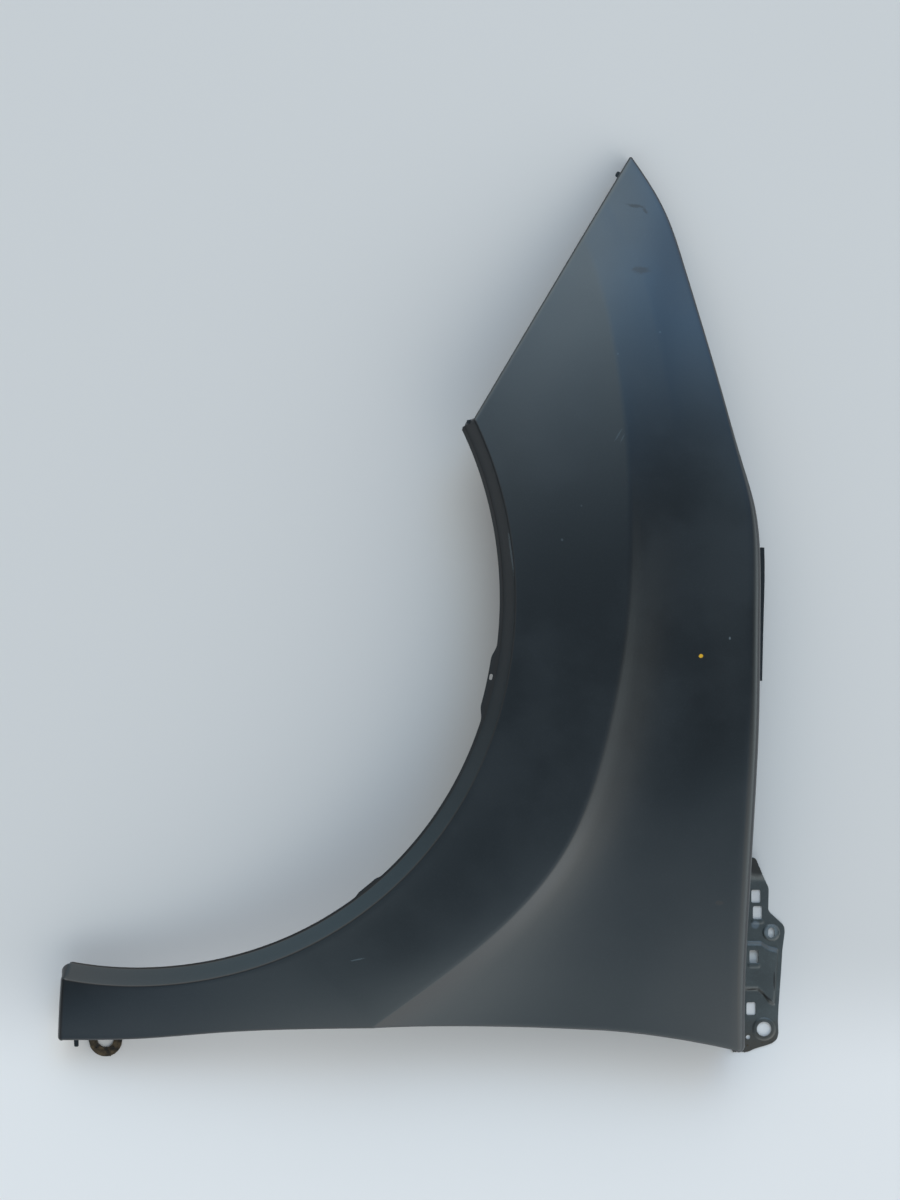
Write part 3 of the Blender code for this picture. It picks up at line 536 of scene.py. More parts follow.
    @staticmethod
    def sections(start: np.ndarray, finish: np.ndarray, shares: np.ndarray) -> np.ndarray:
        """Curves of the skin between two feature lines.

        Args:
            start: Rows of the near line.
            finish: Rows of the far line.
            shares: Places between them, one row per column or one for all.

        Returns:
            Points as columns, rows and coordinates.
        """
        t = np.broadcast_to(shares, (len(start), np.shape(shares)[-1]))
        span = np.linalg.norm(finish[:, :2] - start[:, :2], axis=1)[:, None]
        height = ((2 * t ** 3 - 3 * t ** 2 + 1) * start[:, 2:3]
                  + (t ** 3 - 2 * t ** 2 + t) * start[:, 4:5] * span
                  + (3 * t ** 2 - 2 * t ** 3) * finish[:, 2:3]
                  + (t ** 3 - t ** 2) * finish[:, 3:4] * span)
        plan = start[:, None, :2] + (finish[:, None, :2] - start[:, None, :2]) * t[:, :, None]
        return np.concatenate((plan, height[:, :, None]), axis=2)

    def soften(self, points: np.ndarray, ridge: np.ndarray) -> np.ndarray:
        """Round the ridge over its half width, where two straight slopes would meet."""
        gap = np.hypot(points[:, :, 0] - ridge[:, None, 0], points[:, :, 1] - ridge[:, None, 1])
        inside = np.clip(self.softness - gap, 0, None)
        points[:, :, 2] += (ridge[:, 4] - ridge[:, 3])[:, None] * inside ** 2 / (4 * self.softness)
        return points

    def flare_columns(self) -> tuple[np.ndarray, np.ndarray]:
        """Columns from the lip crease to the ridge and, behind its end, to the door edge.

        Returns:
            The share of the arch at each column, and the points.
        """
        front = self.long_fractions()
        rear = np.linspace(0, 1, self.sill_columns + 1)[1:]
        arch = np.concatenate((front * self.arch_share, self.arch_share + rear * (1 - self.arch_share)))
        near = self.crease(arch)
        far = np.concatenate((RIDGE.at(front, self.scale), DOOR.at(rear, self.scale)))
        span = np.linalg.norm(far[:, :2] - near[:, :2], axis=1)[:, None]
        soft = self.softness * np.linspace(1, 0, self.soft_rows)[None, :] / span
        before = np.linspace(0, 1, self.flare_rows)[None, :-1] * (1 - soft[:, :1])
        shares = np.concatenate((before, 1 - soft), axis=1)
        return arch, self.soften(self.sections(near, far, shares), far)

    def side_columns(self) -> np.ndarray:
        """Columns from the ridge through the hollow to the shoulder."""
        fractions = self.long_fractions()
        ridge, hollow, shoulder = (line.at(fractions, self.scale) for line in (RIDGE, HOLLOW, SHOULDER))
        span = np.linalg.norm(hollow[:, :2] - ridge[:, :2], axis=1)[:, None]
        soft = self.softness * np.linspace(0, 1, self.soft_rows)[None, :] / span
        beyond = soft[:, -1:] + np.linspace(0, 1, self.hollow_rows)[None, 1:] * (1 - soft[:, -1:])
        shares = np.concatenate((soft, beyond), axis=1)
        near = self.sections(ridge, hollow, shares)
        far_shares = np.linspace(0, 1, self.shoulder_rows)[1:]
        far = self.sections(hollow, shoulder, far_shares[None, :])
        bow = self.length * fractions[:, None] ** 12
        near[:, :, 1] += bow * self.door_bows[0] * 4 * shares * (1 - shares)
        far[:, :, 1] += bow * self.door_bows[1] * 4 * far_shares * (1 - far_shares)
        points = self.soften(np.concatenate((near, far), axis=1), ridge)
        return self.fair(points)

    def fair(self, points: np.ndarray) -> np.ndarray:
        """Even out the heights past the ridge, so that reflections run smoothly over the hollow."""
        first = self.fair_from
        for _ in range(self.fair_passes):
            z = points[:, :, 2]
            points[:, first:-1, 2] = (z[:, first - 1:-2] + 2 * z[:, first:-1] + z[:, first + 1:]) / 4
        return points

    def edge_rims(self, sheet: SheetMesh, edge: list[int], inner: list[int]) -> list[Rim]:
        """Stations along one side, taken with the skin on the left.

        Args:
            sheet: The skin.
            edge: Vertices of the side, in order.
            inner: The vertex inside each of them.

        Returns:
            One rim for each vertex.
        """
        rims = []
        for k, vertex in enumerate(edge):
            step = sheet.points[edge[min(k + 1, len(edge) - 1)]] - sheet.points[edge[max(k - 1, 0)]]
            away = np.array((step[1], -step[0], 0.0)) / hypot(step[0], step[1])
            run = sheet.points[vertex] - sheet.points[inner[k]]
            rims.append(Rim(vertex, away, atan2(-run[2], max(float(run @ away), 1e-5))))
        return rims

    def lip_folds(self, arch: np.ndarray) -> list[Fold]:
        """The sloping band of the lip at each share of the arch."""
        folds = []
        for fraction in arch:
            reach = self.between(self.lip_reach, fraction)
            lean = atan2(self.lip_depth, reach)
            folds.append(Fold(lean, self.lip_bend, (reach - self.lip_bend * sin(lean)) / cos(lean)))
        return folds

    def hood_folds(self, sheet: SheetMesh, rims: list[Rim]) -> list[Fold]:
        """The hood wall, whose foot follows its own line above the surface."""
        shares = np.linspace(1, 0, len(rims))
        rolls = np.clip(even_curve(self.hood_rolls, shares), 0, 1)
        at_flange = self.flange_height + self.sheet + self.flange_bend * (1 - cos(self.hood_lean))
        heights = [share * at_flange for share in self.foot_rises] + [self.wall_foot] * 2
        feet = np.interp(shares, self.foot_places, heights)
        folds = []
        for rim, roll, foot in zip(rims, rolls, feet):
            bend = self.hood_bends[0] + (self.hood_bends[1] - self.hood_bends[0]) * roll
            drop = bend * (cos(rim.fall) - cos(self.hood_lean))
            run = (sheet.points[rim.vertex][2] - drop - foot) / sin(self.hood_lean)
            folds.append(Fold(self.hood_lean, bend, run))
        return folds

    def outline_folds(self, sheet: SheetMesh, arch: np.ndarray, flare: list[list[int]],
                      side: list[list[int]]) -> dict[Side, list[Rim]]:
        """Fold the sheet down all round the skin.

        Args:
            sheet: The skin, which grows.
            arch: Share of the arch at each flare column.
            flare: Vertices of the flare's columns.
            side: Vertices of the side's columns.

        Returns:
            The new rims, side by side.
        """
        last = len(side) - 1
        rows = range(len(side[last]) - 1, 0, -1)
        door = [side[last][j] for j in rows] + [column[-1] for column in flare[last:]]
        door_inner = [side[last - 1][j] for j in rows] + [column[-2] for column in flare[last:]]
        front, second = flare[0] + side[0][1:], flare[1] + side[1][1:]
        rims = {
            Side.ARCH: self.edge_rims(sheet, [c[0] for c in flare], [c[1] for c in flare]),
            Side.SILL: self.edge_rims(sheet, flare[-1], flare[-2]),
            Side.DOOR: self.edge_rims(sheet, door[::-1], door_inner[::-1]),
            Side.HOOD: self.edge_rims(sheet, [c[-1] for c in side[::-1]], [c[-2] for c in side[::-1]]),
            Side.HEADLAMP: self.edge_rims(sheet, front[::-1], second[::-1]),
        }
        for rim, fraction in zip(rims[Side.ARCH], arch):
            rim.away = -self.arch_point(fraction, 1.0)
        folds = {
            Side.ARCH: self.lip_folds(arch),
            Side.SILL: [self.sill] * len(rims[Side.SILL]),
            Side.DOOR: [self.edge] * len(rims[Side.DOOR]),
            Side.HOOD: self.hood_folds(sheet, rims[Side.HOOD]),
            Side.HEADLAMP: [self.edge] * len(rims[Side.HEADLAMP]),
        }
        order, bent, spans = [], [], {}
        sides = list(Side)
        for k, name in enumerate(sides):
            following = sides[(k + 1) % len(sides)]
            spans[name] = slice(len(order), len(order) + len(rims[name]))
            last_rim, first_rim = rims[name][-1], rims[following][0]
            order += rims[name]
            bent += folds[name]
            for step in range(1, self.bend_steps):
                share = step / self.bend_steps
                order.append(self.turned(last_rim, first_rim, share))
                bent.append(folds[name][-1].towards(folds[following][0], share))
        ends = sheet.fold(order, bent, self.bend_steps, runs=3, closed=True)
        return {name: ends[span] for name, span in spans.items()}

    @staticmethod
    def turned(last: Rim, first: Rim, share: float) -> Rim:
        """A station that turns a fold round a corner of the skin."""
        start = atan2(last.away[1], last.away[0])
        turn = (atan2(first.away[1], first.away[0]) - start + pi) % (2 * pi) - pi
        angle = start + turn * share
        away = np.array((cos(angle), sin(angle), 0.0))
        return Rim(last.vertex, away, last.fall + (first.fall - last.fall) * share)

    def return_strip(self, sheet: SheetMesh, arch: np.ndarray, rims: list[Rim]) -> None:
        """Turn the lip's inner edge back to face outwards, wider where the wheel liner is fixed.

        Args:
            sheet: The skin, which grows.
            arch: Share of the arch at each rim.
            rims: Stations along the lip's inner edge.
        """
        arc = self.arch_radius * (self.arch_front - self.arch_rear)
        folds = []
        for fraction in arch:
            width = self.between(self.return_width, fraction)
            for middle, extra, length in (self.liner_tab, self.rear_tab):
                gap = (length / 2 - abs(fraction - middle) * arc) / (length * self.tab_fade)
                width += extra * float(smooth_step(np.array(gap)))
            corner = self.return_corner * width
            short = max(corner - min(fraction, 1 - fraction) * arc, 0.0)
            width -= corner - (corner ** 2 - short ** 2) ** 0.5
            bend_reach = self.return_bend * (sin(rims[0].fall) - sin(self.return_lean))
            run = (width - bend_reach) / cos(self.return_lean)
            folds.append(Fold(self.return_lean, self.return_bend, run))
        sheet.fold(rims, folds, self.small_bend_steps, runs=2)

    def build(self) -> bpy.types.Object:
        """Press, fold, thicken and pierce the skin, about the wheel centre."""
        sheet = SheetMesh()
        arch, flare_points = self.flare_columns()
        flare = sheet.grid(flare_points)
        side_points = self.side_columns()
        side = sheet.grid(side_points, [column[-1] for column in flare[:len(side_points)]])
        rims = self.outline_folds(sheet, arch, flare, side)
        self.return_strip(sheet, arch, rims[Side.ARCH])
        front, rear = self.flange_ends()
        welded = [rim for rim in rims[Side.HOOD] if rear - 1e-4 < sheet.points[rim.vertex][1] < front + 1e-4]
        flange_fold = Fold(0.0, self.flange_bend, self.flange_width - self.flange_bend)
        flange = sheet.fold(welded, [flange_fold] * len(welded), self.small_bend_steps, runs=2)
        self.places = {name: sheet.stations(rims[name]) for name in Side}
        self.flange = sheet.stations(flange)
        item = sheet.to_object("fender_skin")
        return finish_sheet(item, self.sheet, -1, cutters=[self.hole_cutter()], added=[self.edge_tabs()])

    def edge_tabs(self) -> bpy.types.Object:
        """Locating tabs on the headlamp flange, round the lip's front end and at the sill corner."""
        tool = SheetMesh()
        front = self.places[Side.HEADLAMP]
        up = np.array((0, 0, self.edge.run / 2))
        share, *size = self.front_tab
        point, away = place_by_length(front, share)
        self.add_tab(tool, point + up, away, *size)
        (point, away), (lip, inward) = front[-1], self.places[Side.ARCH][0]
        away = (away + inward) / np.linalg.norm(away + inward)
        self.add_tab(tool, (point + lip) / 2 + up - away * self.sheet, away, *self.lip_end_tab)
        door = self.places[Side.DOOR]
        corner, away = door[0]
        from_corner, *size = self.sill_tab
        point = place_at_x(door, corner[0] + from_corner) + np.array((0, 0, self.tab_sheet))
        self.add_tab(tool, point, away, *size)
        return tool.to_object("edge_tabs")

    def add_tab(self, tool: SheetMesh, point: np.ndarray, away: np.ndarray, width: float,
                reach: float) -> None:
        """Add a small flat tab with a rounded tip, rooted inside the sheet.

        Args:
            tool: The mesh of all tabs.
            point: Where it leaves the sheet.
            away: The plan direction in which it stands out.
            width: Its width.
            reach: How far it stands out.
        """
        corner = width * self.tab_corner
        outline = [(-self.sheet / 2, -width / 2)]
        for a in np.linspace(0, pi / 2, 5):
            outline.append((reach - corner + corner * sin(a), corner - width / 2 - corner * cos(a)))
        outline += [(u, -v) for u, v in outline[::-1]]
        tool.prism(outline, 0, self.tab_sheet, point, away)

    def wall_x(self, y: float, height: float) -> float:
        """X of the hood wall's outer face at a given Y and height."""
        points = sorted((point[1], point[0], point[2]) for point, _ in self.places[Side.HOOD])
        ys, xs, zs = zip(*points)
        return float(np.interp(y, ys, xs) + (height - np.interp(y, ys, zs)) * tan(self.hood_lean - pi / 2))

    def rear(self) -> float:
        """Y of the hood wall's rear end."""
        return min(point[1] for point, _ in self.places[Side.HOOD])

    def hole_cutter(self) -> bpy.types.Object:
        """The liner hole in the lip's tab and the bolt slots in the hood flange."""
        tool = SheetMesh()
        place = self.arch_point(self.liner_hole, self.inner_radius(self.liner_hole) - self.liner_tab[1] / 4)
        outward = place / np.linalg.norm(place)
        tool.prism(slot_outline(*self.liner_slot), self.crown / 2, self.crown, (*place[:2], 0), outward)
        for share in self.flange_slots:
            point, away = self.flange[round(share * (len(self.flange) - 1))]
            middle = point - away * self.flange_width / 2
            tool.prism(slot_outline(*self.flange_slot), -self.cut, self.cut, middle, away)
        return tool.to_object("skin_holes")


@dataclass
class HingeBracket:
    """The pierced and embossed plate that bolts to the hinge pillar, welded to the hood wall by a flange.

    Outline, pads and holes are shares of the width out from the wall and of the length from the front.
    Seats are their radius, height and ramp. A window is its width, length and corner radius. A bead is
    its half length as a share of the width, its distance behind the window, radius and height, and its
    spread is how many radii it reaches to.
    """

    skin: PressedSkin
    sheet: float = 0.0012
    length: float = 0.204
    width: float = 0.055
    rear_overhang: float = 0.0188
    bend: float = 0.002
    weld_height: float = 0.016
    weld_stub: float = 0.0008
    weld_fade: float = 0.006
    weld_ends: tuple[float, float] = (0.02, 0.012)
    weld_line: float = 0.62
    foot_out: float = 0.001
    gap: float = 0.0003
    pad_height: float = 0.003
    pad_ramp: float = 0.006
    side_ramp: float = 0.002
    pad_margin: float = 0.0045
    ramp_height: float = 0.012
    ramp_share: float = 0.12
    ramp_softness: float = 0.002
    corner: float = 0.003
    corner_share: float = 0.012
    window: tuple[float, float, float] = (0.0095, 0.0135, 0.0018)
    boss_seat: tuple[float, float, float] = (0.0086, 0.0015, 0.0013)
    boss_slot: tuple[float, float, float] = (0.0068, 0.0104, 0.003332)
    locating_seat: tuple[float, float, float] = (0.0118, 0.0009, 0.0014)
    locating_radius: float = 0.0076
    pilot_radius: float = 0.0023
    bead: tuple[float, float, float, float] = (0.07, 0.0092, 0.0018, 0.0006)
    bead_spread: float = 1.6
    cut: tuple[float, float] = (-0.004, 0.012)
    outline: Pairs = (
        (0.41, 0.0), (0.695, 0.163), (0.685, 0.281), (0.978, 0.352), (1.0, 0.382), (0.951, 0.485),
        (0.929, 0.587), (0.88, 0.77), (0.869, 0.842), (0.88, 0.903), (0.847, 0.939), (0.711, 0.964),
        (0.41, 0.982), (0.325, 1.0))
    pad_front: Pairs = ((0.127, 0.43), (0.542, 0.432), (0.684, 0.457), (0.945, 0.475))
    pad_rear: Pairs = ((0.127, 0.69), (0.487, 0.69), (0.596, 0.715), (0.706, 0.757), (0.847, 0.772))
    windows: Pairs = ((0.452, 0.206), (0.482, 0.289), (0.408, 0.511), (0.359, 0.78))
    beaded: tuple[int, ...] = (1, 2)
    boss: tuple[float, float] = (0.741, 0.39)
    locating: tuple[float, float] = (0.605, 0.883)
    pilot: tuple[float, float] = (0.304, 0.925)
    stations: int = 256
    crossings: int = 56
    bend_rows: int = 7
    wall_rows: int = 4
    weld_points: int = 24

    @property
    def origin(self) -> np.ndarray:
        """The front end of the bracket at the foot of the wall."""
        rear = self.skin.rear()
        return np.array((self.skin.wall_x(rear, 0), rear - self.rear_overhang + self.length, 0.0))

    def edge(self, share: float) -> float:
        """Distance of the outer edge from the wall at a share of the length, its corners rounded off."""
        widths, lengths = zip(*self.outline)
        spread = np.linspace(-self.corner_share, self.corner_share, 9)
        width = float(np.interp(share + spread, lengths, widths).mean()) * self.width
        short = max(self.corner - min(share, 1 - share) * self.length, 0.0)
        return width - (self.corner - (self.corner ** 2 - short ** 2) ** 0.5)

    def rise(self, u: np.ndarray, v: np.ndarray, edge: np.ndarray | float) -> np.ndarray:
        """Height of the plate's face, from its embossing.

        Args:
            u: Distances from the wall.
            v: Distances from the front end.
            edge: Distance of the outer edge from the wall there.

        Returns:
            Heights over the surface it lies on.
        """
        front, rear = (np.interp(u / self.width, *zip(*table)) * self.length
                       for table in (self.pad_front, self.pad_rear))
        inside = np.minimum((v - front) / self.pad_ramp, (rear - v) / self.pad_ramp)
        inside = np.minimum(inside, (edge - self.pad_margin - u) / self.side_ramp)
        height = self.pad_height * smooth_step(inside)
        ramp = self.ramp_share * self.length
        height = height + self.ramp_height / ramp * (ramp - v + np.hypot(ramp - v, self.ramp_softness)) / 2
        for (across, along), seat in ((self.boss, self.boss_seat), (self.locating, self.locating_seat)):
            radius, raised, fade = seat
            reach = np.hypot(u - across * self.width, v - along * self.length)
            height = height + raised * smooth_step((radius - reach) / fade)
        half, behind, radius, raised = self.bead
        for across, along in (self.windows[k] for k in self.beaded):
            line = [((across + side * half) * self.width, along * self.length + behind) for side in (-1, 1)]
            height = height + raised * smooth_step(self.bead_spread - distance_to_path(u, v, line) / radius)
        return height

    def build(self) -> bpy.types.Object:
        """Press, thicken and pierce the plate, about the wheel centre."""
        origin = self.origin
        columns = []
        turns = np.linspace(0, pi / 2, self.bend_rows)
        for share in np.linspace(0, 1, self.stations):
            v, edge = share * self.length, self.edge(share)
            y = origin[1] - v
            y_weld = max(y, self.skin.rear())
            foot = float(self.rise(np.array(self.foot_out), np.array(v), edge))
            foot_x = self.skin.wall_x(y_weld, foot + self.bend) + self.gap
            beside = float(smooth_step(np.array((y - self.skin.rear()) / self.weld_fade + 1)))
            stub = self.bend + self.weld_stub
            top = stub + (self.weld_height - stub) * beside
            wall = [(self.skin.wall_x(y_weld, foot + z) + self.gap, y, foot + z)
                    for z in np.linspace(top, self.bend, self.wall_rows)[:-1]]
            bend = [(foot_x + self.bend * (1 - cos(a)), y, foot + self.bend * (1 - sin(a))) for a in turns]
            x = np.linspace(foot_x + self.bend, origin[0] + edge, self.crossings)[1:]
            level = self.rise(x - origin[0], np.full(len(x), v), edge)
            plate = np.column_stack((x, np.full(len(x), y), level))
            columns.append(np.concatenate((wall, bend, plate)))
        sheet = SheetMesh()
        sheet.grid(np.array(columns))
        item = sheet.to_object("hinge_bracket")
        return finish_sheet(item, self.sheet, 1, cutters=[self.hole_cutter(origin)])

    def hole_cutter(self, origin: np.ndarray) -> bpy.types.Object:
        """The windows, the bolt slot and the round holes."""
        tool = SheetMesh()
        holes = [(place, slot_outline(*self.window)) for place in self.windows]
        holes.append((self.boss, slot_outline(*self.boss_slot)))
        holes.append((self.locating, disc_outline(self.locating_radius)))
        holes.append((self.pilot, disc_outline(self.pilot_radius, 24)))
        for (across, along), outline in holes:
            place = origin + np.array((across * self.width, -along * self.length, 0))
            tool.prism(outline, *self.cut, place)
        return tool.to_object("bracket_holes")

    def weld_path(self, shift: np.ndarray) -> list[Vector]:
        """A line up the middle of the weld flange's outer face, where its spot welds stand."""
        front, rear = self.weld_ends
        ys = np.linspace(self.origin[1] - front, self.skin.rear() + rear, self.weld_points)
        height = self.weld_height * self.weld_line
        out = self.gap + self.sheet
        return [Vector(shift + (self.skin.wall_x(y, height + self.pad_height) + out, y, height)) for y in ys]


@dataclass
class LowerEar:
    """The strap inside the door flange that turns out into a bolt ring under the sill."""

    skin: PressedSkin
    sheet: float = 0.0016
    radius: float = 0.0175
    hole_radius: float = 0.0085
    bend: float = 0.003
    leg: float = 0.034
    from_corner: float = 0.037
    overhang: float = 0.0088
    gap: float = 0.0003
    crowned: float = 0.004
    cut: float = 0.004
    columns: int = 25
    leg_rows: int = 10
    bend_rows: int = 7
    flat_rows: int = 6
    ring_rows: int = 12

    def build(self) -> bpy.types.Object:
        """Bend, thicken and pierce the strap, about the wheel centre."""
        door = self.skin.places[Side.DOOR]
        left, seat, right = (place_at_x(door, door[0][0][0] + self.from_corner + side * self.radius)
                             for side in (-1, 0, 1))
        edge = (right - left)[:2] / np.linalg.norm((right - left)[:2])
        away = np.array((edge[1], -edge[0], 0.0))
        along = np.array((*edge, 0.0))
        base = np.array((seat[0], seat[1], 0.0))
        plane = -self.skin.sheet - self.gap - self.sheet
        profile = [(plane, z) for z in np.linspace(self.leg, self.bend, self.leg_rows)]
        turns = np.linspace(0, pi / 2, self.bend_rows)[1:]
        profile += [(plane + self.bend * (1 - cos(a)), self.bend * (1 - sin(a))) for a in turns]
        profile += [(u, 0.0) for u in np.linspace(profile[-1][0], self.overhang, self.flat_rows)[1:]]
        columns = []
        for side in np.linspace(-1, 1, self.columns):
            reach = self.radius * (1 - side * side) ** 0.5
            crown = self.leg - self.crowned * side ** 4
            rows = [(u, min(z, crown)) for u, z in profile]
            rows += [(self.overhang + reach * step, 0.0) for step in np.linspace(0, 1, self.ring_rows)[1:]]
            start = base + along * side * self.radius
            columns.append([start + away * u + np.array((0, 0, z)) for u, z in rows])
        sheet = SheetMesh()
        sheet.grid(np.array(columns))
        item = sheet.to_object("lower_ear_strap")
        tool = SheetMesh()
        middle = base + away * self.overhang
        tool.prism(disc_outline(self.hole_radius), -self.cut, self.sheet + self.cut, middle, away)
        return finish_sheet(item, self.sheet, 1, cutters=[tool.to_object("ear_hole")])


def dress(item: bpy.types.Object, material: bpy.types.Material,
          node: str | None = None) -> None:
    """Give a piece its finish and hand it to the frame.

    Args:
        item: The finished piece, in its place.
        material: What it is coated with.
        node: The CAD node that it stands for, if any.
    """
    item.data.materials.clear()
    item.data.materials.append(material)
    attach(item, BODY)
    if node:
        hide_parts(node)
    LOG.info("%s: %d faces", item.name, len(item.data.polygons))


def add_node(tree: Tree, kind: str, values: dict[int | str, object] | None = None,
             links: dict[int | str, Socket] | None = None, **settings: object) -> bpy.types.Node:
    """Add a node to a tree.

    Args:
        tree: The material's, world's or modifier's tree.
        kind: The node's type.
        values: What to write on its input sockets, by index or name.
        links: Output sockets to join to its input sockets, by index or name.
        **settings: The node's own settings.

    Returns:
        The new node.
    """
    node = tree.nodes.new(kind)
    for name, setting in settings.items():
        setattr(node, name, setting)
    for key, value in (values or {}).items():
        node.inputs[key].default_value = value
    for key, socket in (links or {}).items():
        tree.links.new(socket, node.inputs[key])
    return node


def new_material(name: str) -> tuple[bpy.types.Material, bpy.types.Node]:
    """Make a material whose tree holds only its shader.

    Args:
        name: What the material is.

    Returns:
        The material and its Principled BSDF node.
    """
    material = bpy.data.materials.new(name)
    material.use_nodes = True
    return material, material.node_tree.nodes["Principled BSDF"]


@dataclass(frozen=True)
class Mark:
    """One mark on the coat, an ellipse in plan with a ragged edge, which can also dull the gloss.

    It goes straight down through the sheet. Its core is the share of it that takes the full colour.
    """

    place: tuple[float, float]
    half_size: tuple[float, float]
    colour: str
    strength: float
    turn: float = 0.0
    ragged: float = 0.5
    dull: float = 0.0
    core: float = 0.55
    depth: float = 1000.0


@dataclass(frozen=True)
class ECoatPrimer:
    """Black cathodic e-coat primer on pressed steel.

    The panel is dipped and baked, so the coat is thin, even and satin: it gives the eye wide soft
    reflections, broken only by a fine orange peel, handling marks and dust. The peel and the specks
    are drawn coarser than real ones, so that they show at all. A range of a noise is where its
    effect starts and where it is full. Soil lies in clumps of about 7 mm, 140 to the metre.
    """

    name: str
    colour: str = "#0D0F11"
    worn: str = "#15181B"
    dust: str = "#5B6367"
    dust_share: float = 0.03
    dust_range: tuple[float, float] = (0.52, 0.75)
    roughness: float = 0.33
    gloss_change: tuple[float, float] = (-0.03, 0.05)
    ior: float = 1.6
    cloud_mm: float = 130.0
    cloud_range: tuple[float, float] = (0.42, 0.68)
    cloud_share: float = 0.55
    peel_mm: float = 2.6
    peel_depth: float = 0.00006
    peel_strength: float = 0.35
    speck_mm: float = 1.8
    marks: tuple[Mark, ...] = ()
    soil: str = "#33291D"
    soil_line: tuple[float, float] | None = None
    soil_per_m: float = 140.0
    soil_waver: float = 0.03
    soil_cover: float = 0.85

    def build(self) -> bpy.types.Material:
        """Make the coat as a material."""
        material, shader = new_material(self.name)
        tree = material.node_tree
        place = add_node(tree, "ShaderNodeTexCoord").outputs["Object"]
        clouds = add_node(tree, "ShaderNodeTexNoise",
                          {"Scale": 1000 / self.cloud_mm, "Detail": 4.0, "Roughness": 0.6}, {"Vector": place})
        start, full = self.cloud_range
        wiped = add_node(tree, "ShaderNodeMapRange", {"From Min": start, "From Max": full},
                         {"Value": clouds.outputs[0]}, interpolation_type="SMOOTHSTEP")
        specks = add_node(tree, "ShaderNodeTexNoise", {"Scale": 1000 / self.speck_mm, "Detail": 2.0},
                          {"Vector": place})
        start, full = self.dust_range
        grit = add_node(tree, "ShaderNodeMapRange",
                        {"From Min": start, "From Max": full, "To Max": self.dust_share},
                        {"Value": specks.outputs[0]})
        edges = add_node(tree, "ShaderNodeAttribute", attribute_name="wear").outputs["Fac"]
        rubbed = add_node(tree, "ShaderNodeMath", {1: self.cloud_share}, {0: wiped.outputs[0]},
                          operation="MULTIPLY")
        rubbed = add_node(tree, "ShaderNodeMath", links={0: rubbed.outputs[0], 1: edges}, operation="MAXIMUM")
        colour = add_node(tree, "ShaderNodeMix", {6: linear(self.colour), 7: linear(self.worn)},
                          {0: rubbed.outputs[0]}, data_type="RGBA").outputs[2]
        colour = add_node(tree, "ShaderNodeMix", {7: linear(self.dust)}, {0: grit.outputs[0], 6: colour},
                          data_type="RGBA").outputs[2]
        least, most = (self.roughness + change for change in self.gloss_change)
        gloss = add_node(tree, "ShaderNodeMapRange", {"To Min": least, "To Max": most},
                         {"Value": rubbed.outputs[0]}).outputs[0]
        for mark in self.marks:
            colour, mask = self.marked(tree, place, specks.outputs[0], mark, colour)
            if mark.dull:
                gloss = add_node(tree, "ShaderNodeMath", {1: mark.dull}, {0: mask, 2: gloss},
                                 operation="MULTIPLY_ADD").outputs[0]
        if self.soil_line:
            colour = self.soiled(tree, place, colour)
        tree.links.new(colour, shader.inputs["Base Color"])
        tree.links.new(gloss, shader.inputs["Roughness"])
        shader.inputs["IOR"].default_value = self.ior
        peel = add_node(tree, "ShaderNodeTexNoise",
                        {"Scale": 1000 / self.peel_mm, "Detail": 2.0, "Roughness": 0.4}, {"Vector": place})
        bump = add_node(tree, "ShaderNodeBump",
                        {"Strength": self.peel_strength, "Distance": self.peel_depth},
                        {"Height": peel.outputs[0]})
        tree.links.new(bump.outputs[0], shader.inputs["Normal"])
        return material

    @staticmethod
    def marked(tree: Tree, place: Socket, grain: Socket, mark: Mark, colour: Socket) -> tuple[Socket, Socket]:
        """Lay one mark over a colour.

        Args:
            tree: The material's tree.
            place: Object coordinates.
            grain: A fine noise for the ragged edge.
            mark: The mark.
            colour: The colour so far.

        Returns:
            The colour with the mark on it, and how much of the mark there is.
        """
        local = add_node(tree, "ShaderNodeMapping",
                         {"Location": (*mark.place, 0), "Rotation": (0, 0, mark.turn),
                          "Scale": (*mark.half_size, mark.depth)}, {"Vector": place}, vector_type="TEXTURE")
        reach = add_node(tree, "ShaderNodeVectorMath", links={0: local.outputs[0]}, operation="LENGTH")
        rough = add_node(tree, "ShaderNodeMath", {1: mark.ragged * 2},
                         {0: grain, 2: reach.outputs["Value"]}, operation="MULTIPLY_ADD")
        mask = add_node(tree, "ShaderNodeMapRange",
                        {"From Min": 1 + mark.ragged, "From Max": mark.core + mark.ragged,
                         "To Max": mark.strength}, {"Value": rough.outputs[0]},
                        interpolation_type="SMOOTHSTEP")
        colour = add_node(tree, "ShaderNodeMix", {7: linear(mark.colour)}, {0: mask.outputs[0], 6: colour},
                          data_type="RGBA").outputs[2]
        return colour, mask.outputs[0]

    def soiled(self, tree: Tree, place: Socket, colour: Socket) -> Socket:
        """Lay brown road dirt over the coat where Y is below a wavering line.

        Args:
            tree: The material's tree.
            place: Object coordinates.
            colour: The colour so far.

        Returns:
            The colour with the dirt on it.
        """
        split = add_node(tree, "ShaderNodeSeparateXYZ", links={0: place})
        ragged = add_node(tree, "ShaderNodeTexNoise", {"Scale": self.soil_per_m, "Detail": 5.0},
                          {"Vector": place})
        line = add_node(tree, "ShaderNodeMath", {1: self.soil_waver, 2: -self.soil_waver / 2},
                        {0: ragged.outputs[0]}, operation="MULTIPLY_ADD")
        height = add_node(tree, "ShaderNodeMath", links={0: split.outputs["Y"], 1: line.outputs[0]},
                          operation="ADD")
        full, none = self.soil_line
        mask = add_node(tree, "ShaderNodeMapRange",
                        {"From Min": full, "From Max": none, "To Min": self.soil_cover, "To Max": 0.0},
                        {"Value": height.outputs[0]})
        return add_node(tree, "ShaderNodeMix", {7: linear(self.soil)}, {0: mask.outputs[0], 6: colour},
                        data_type="RGBA").outputs[2]


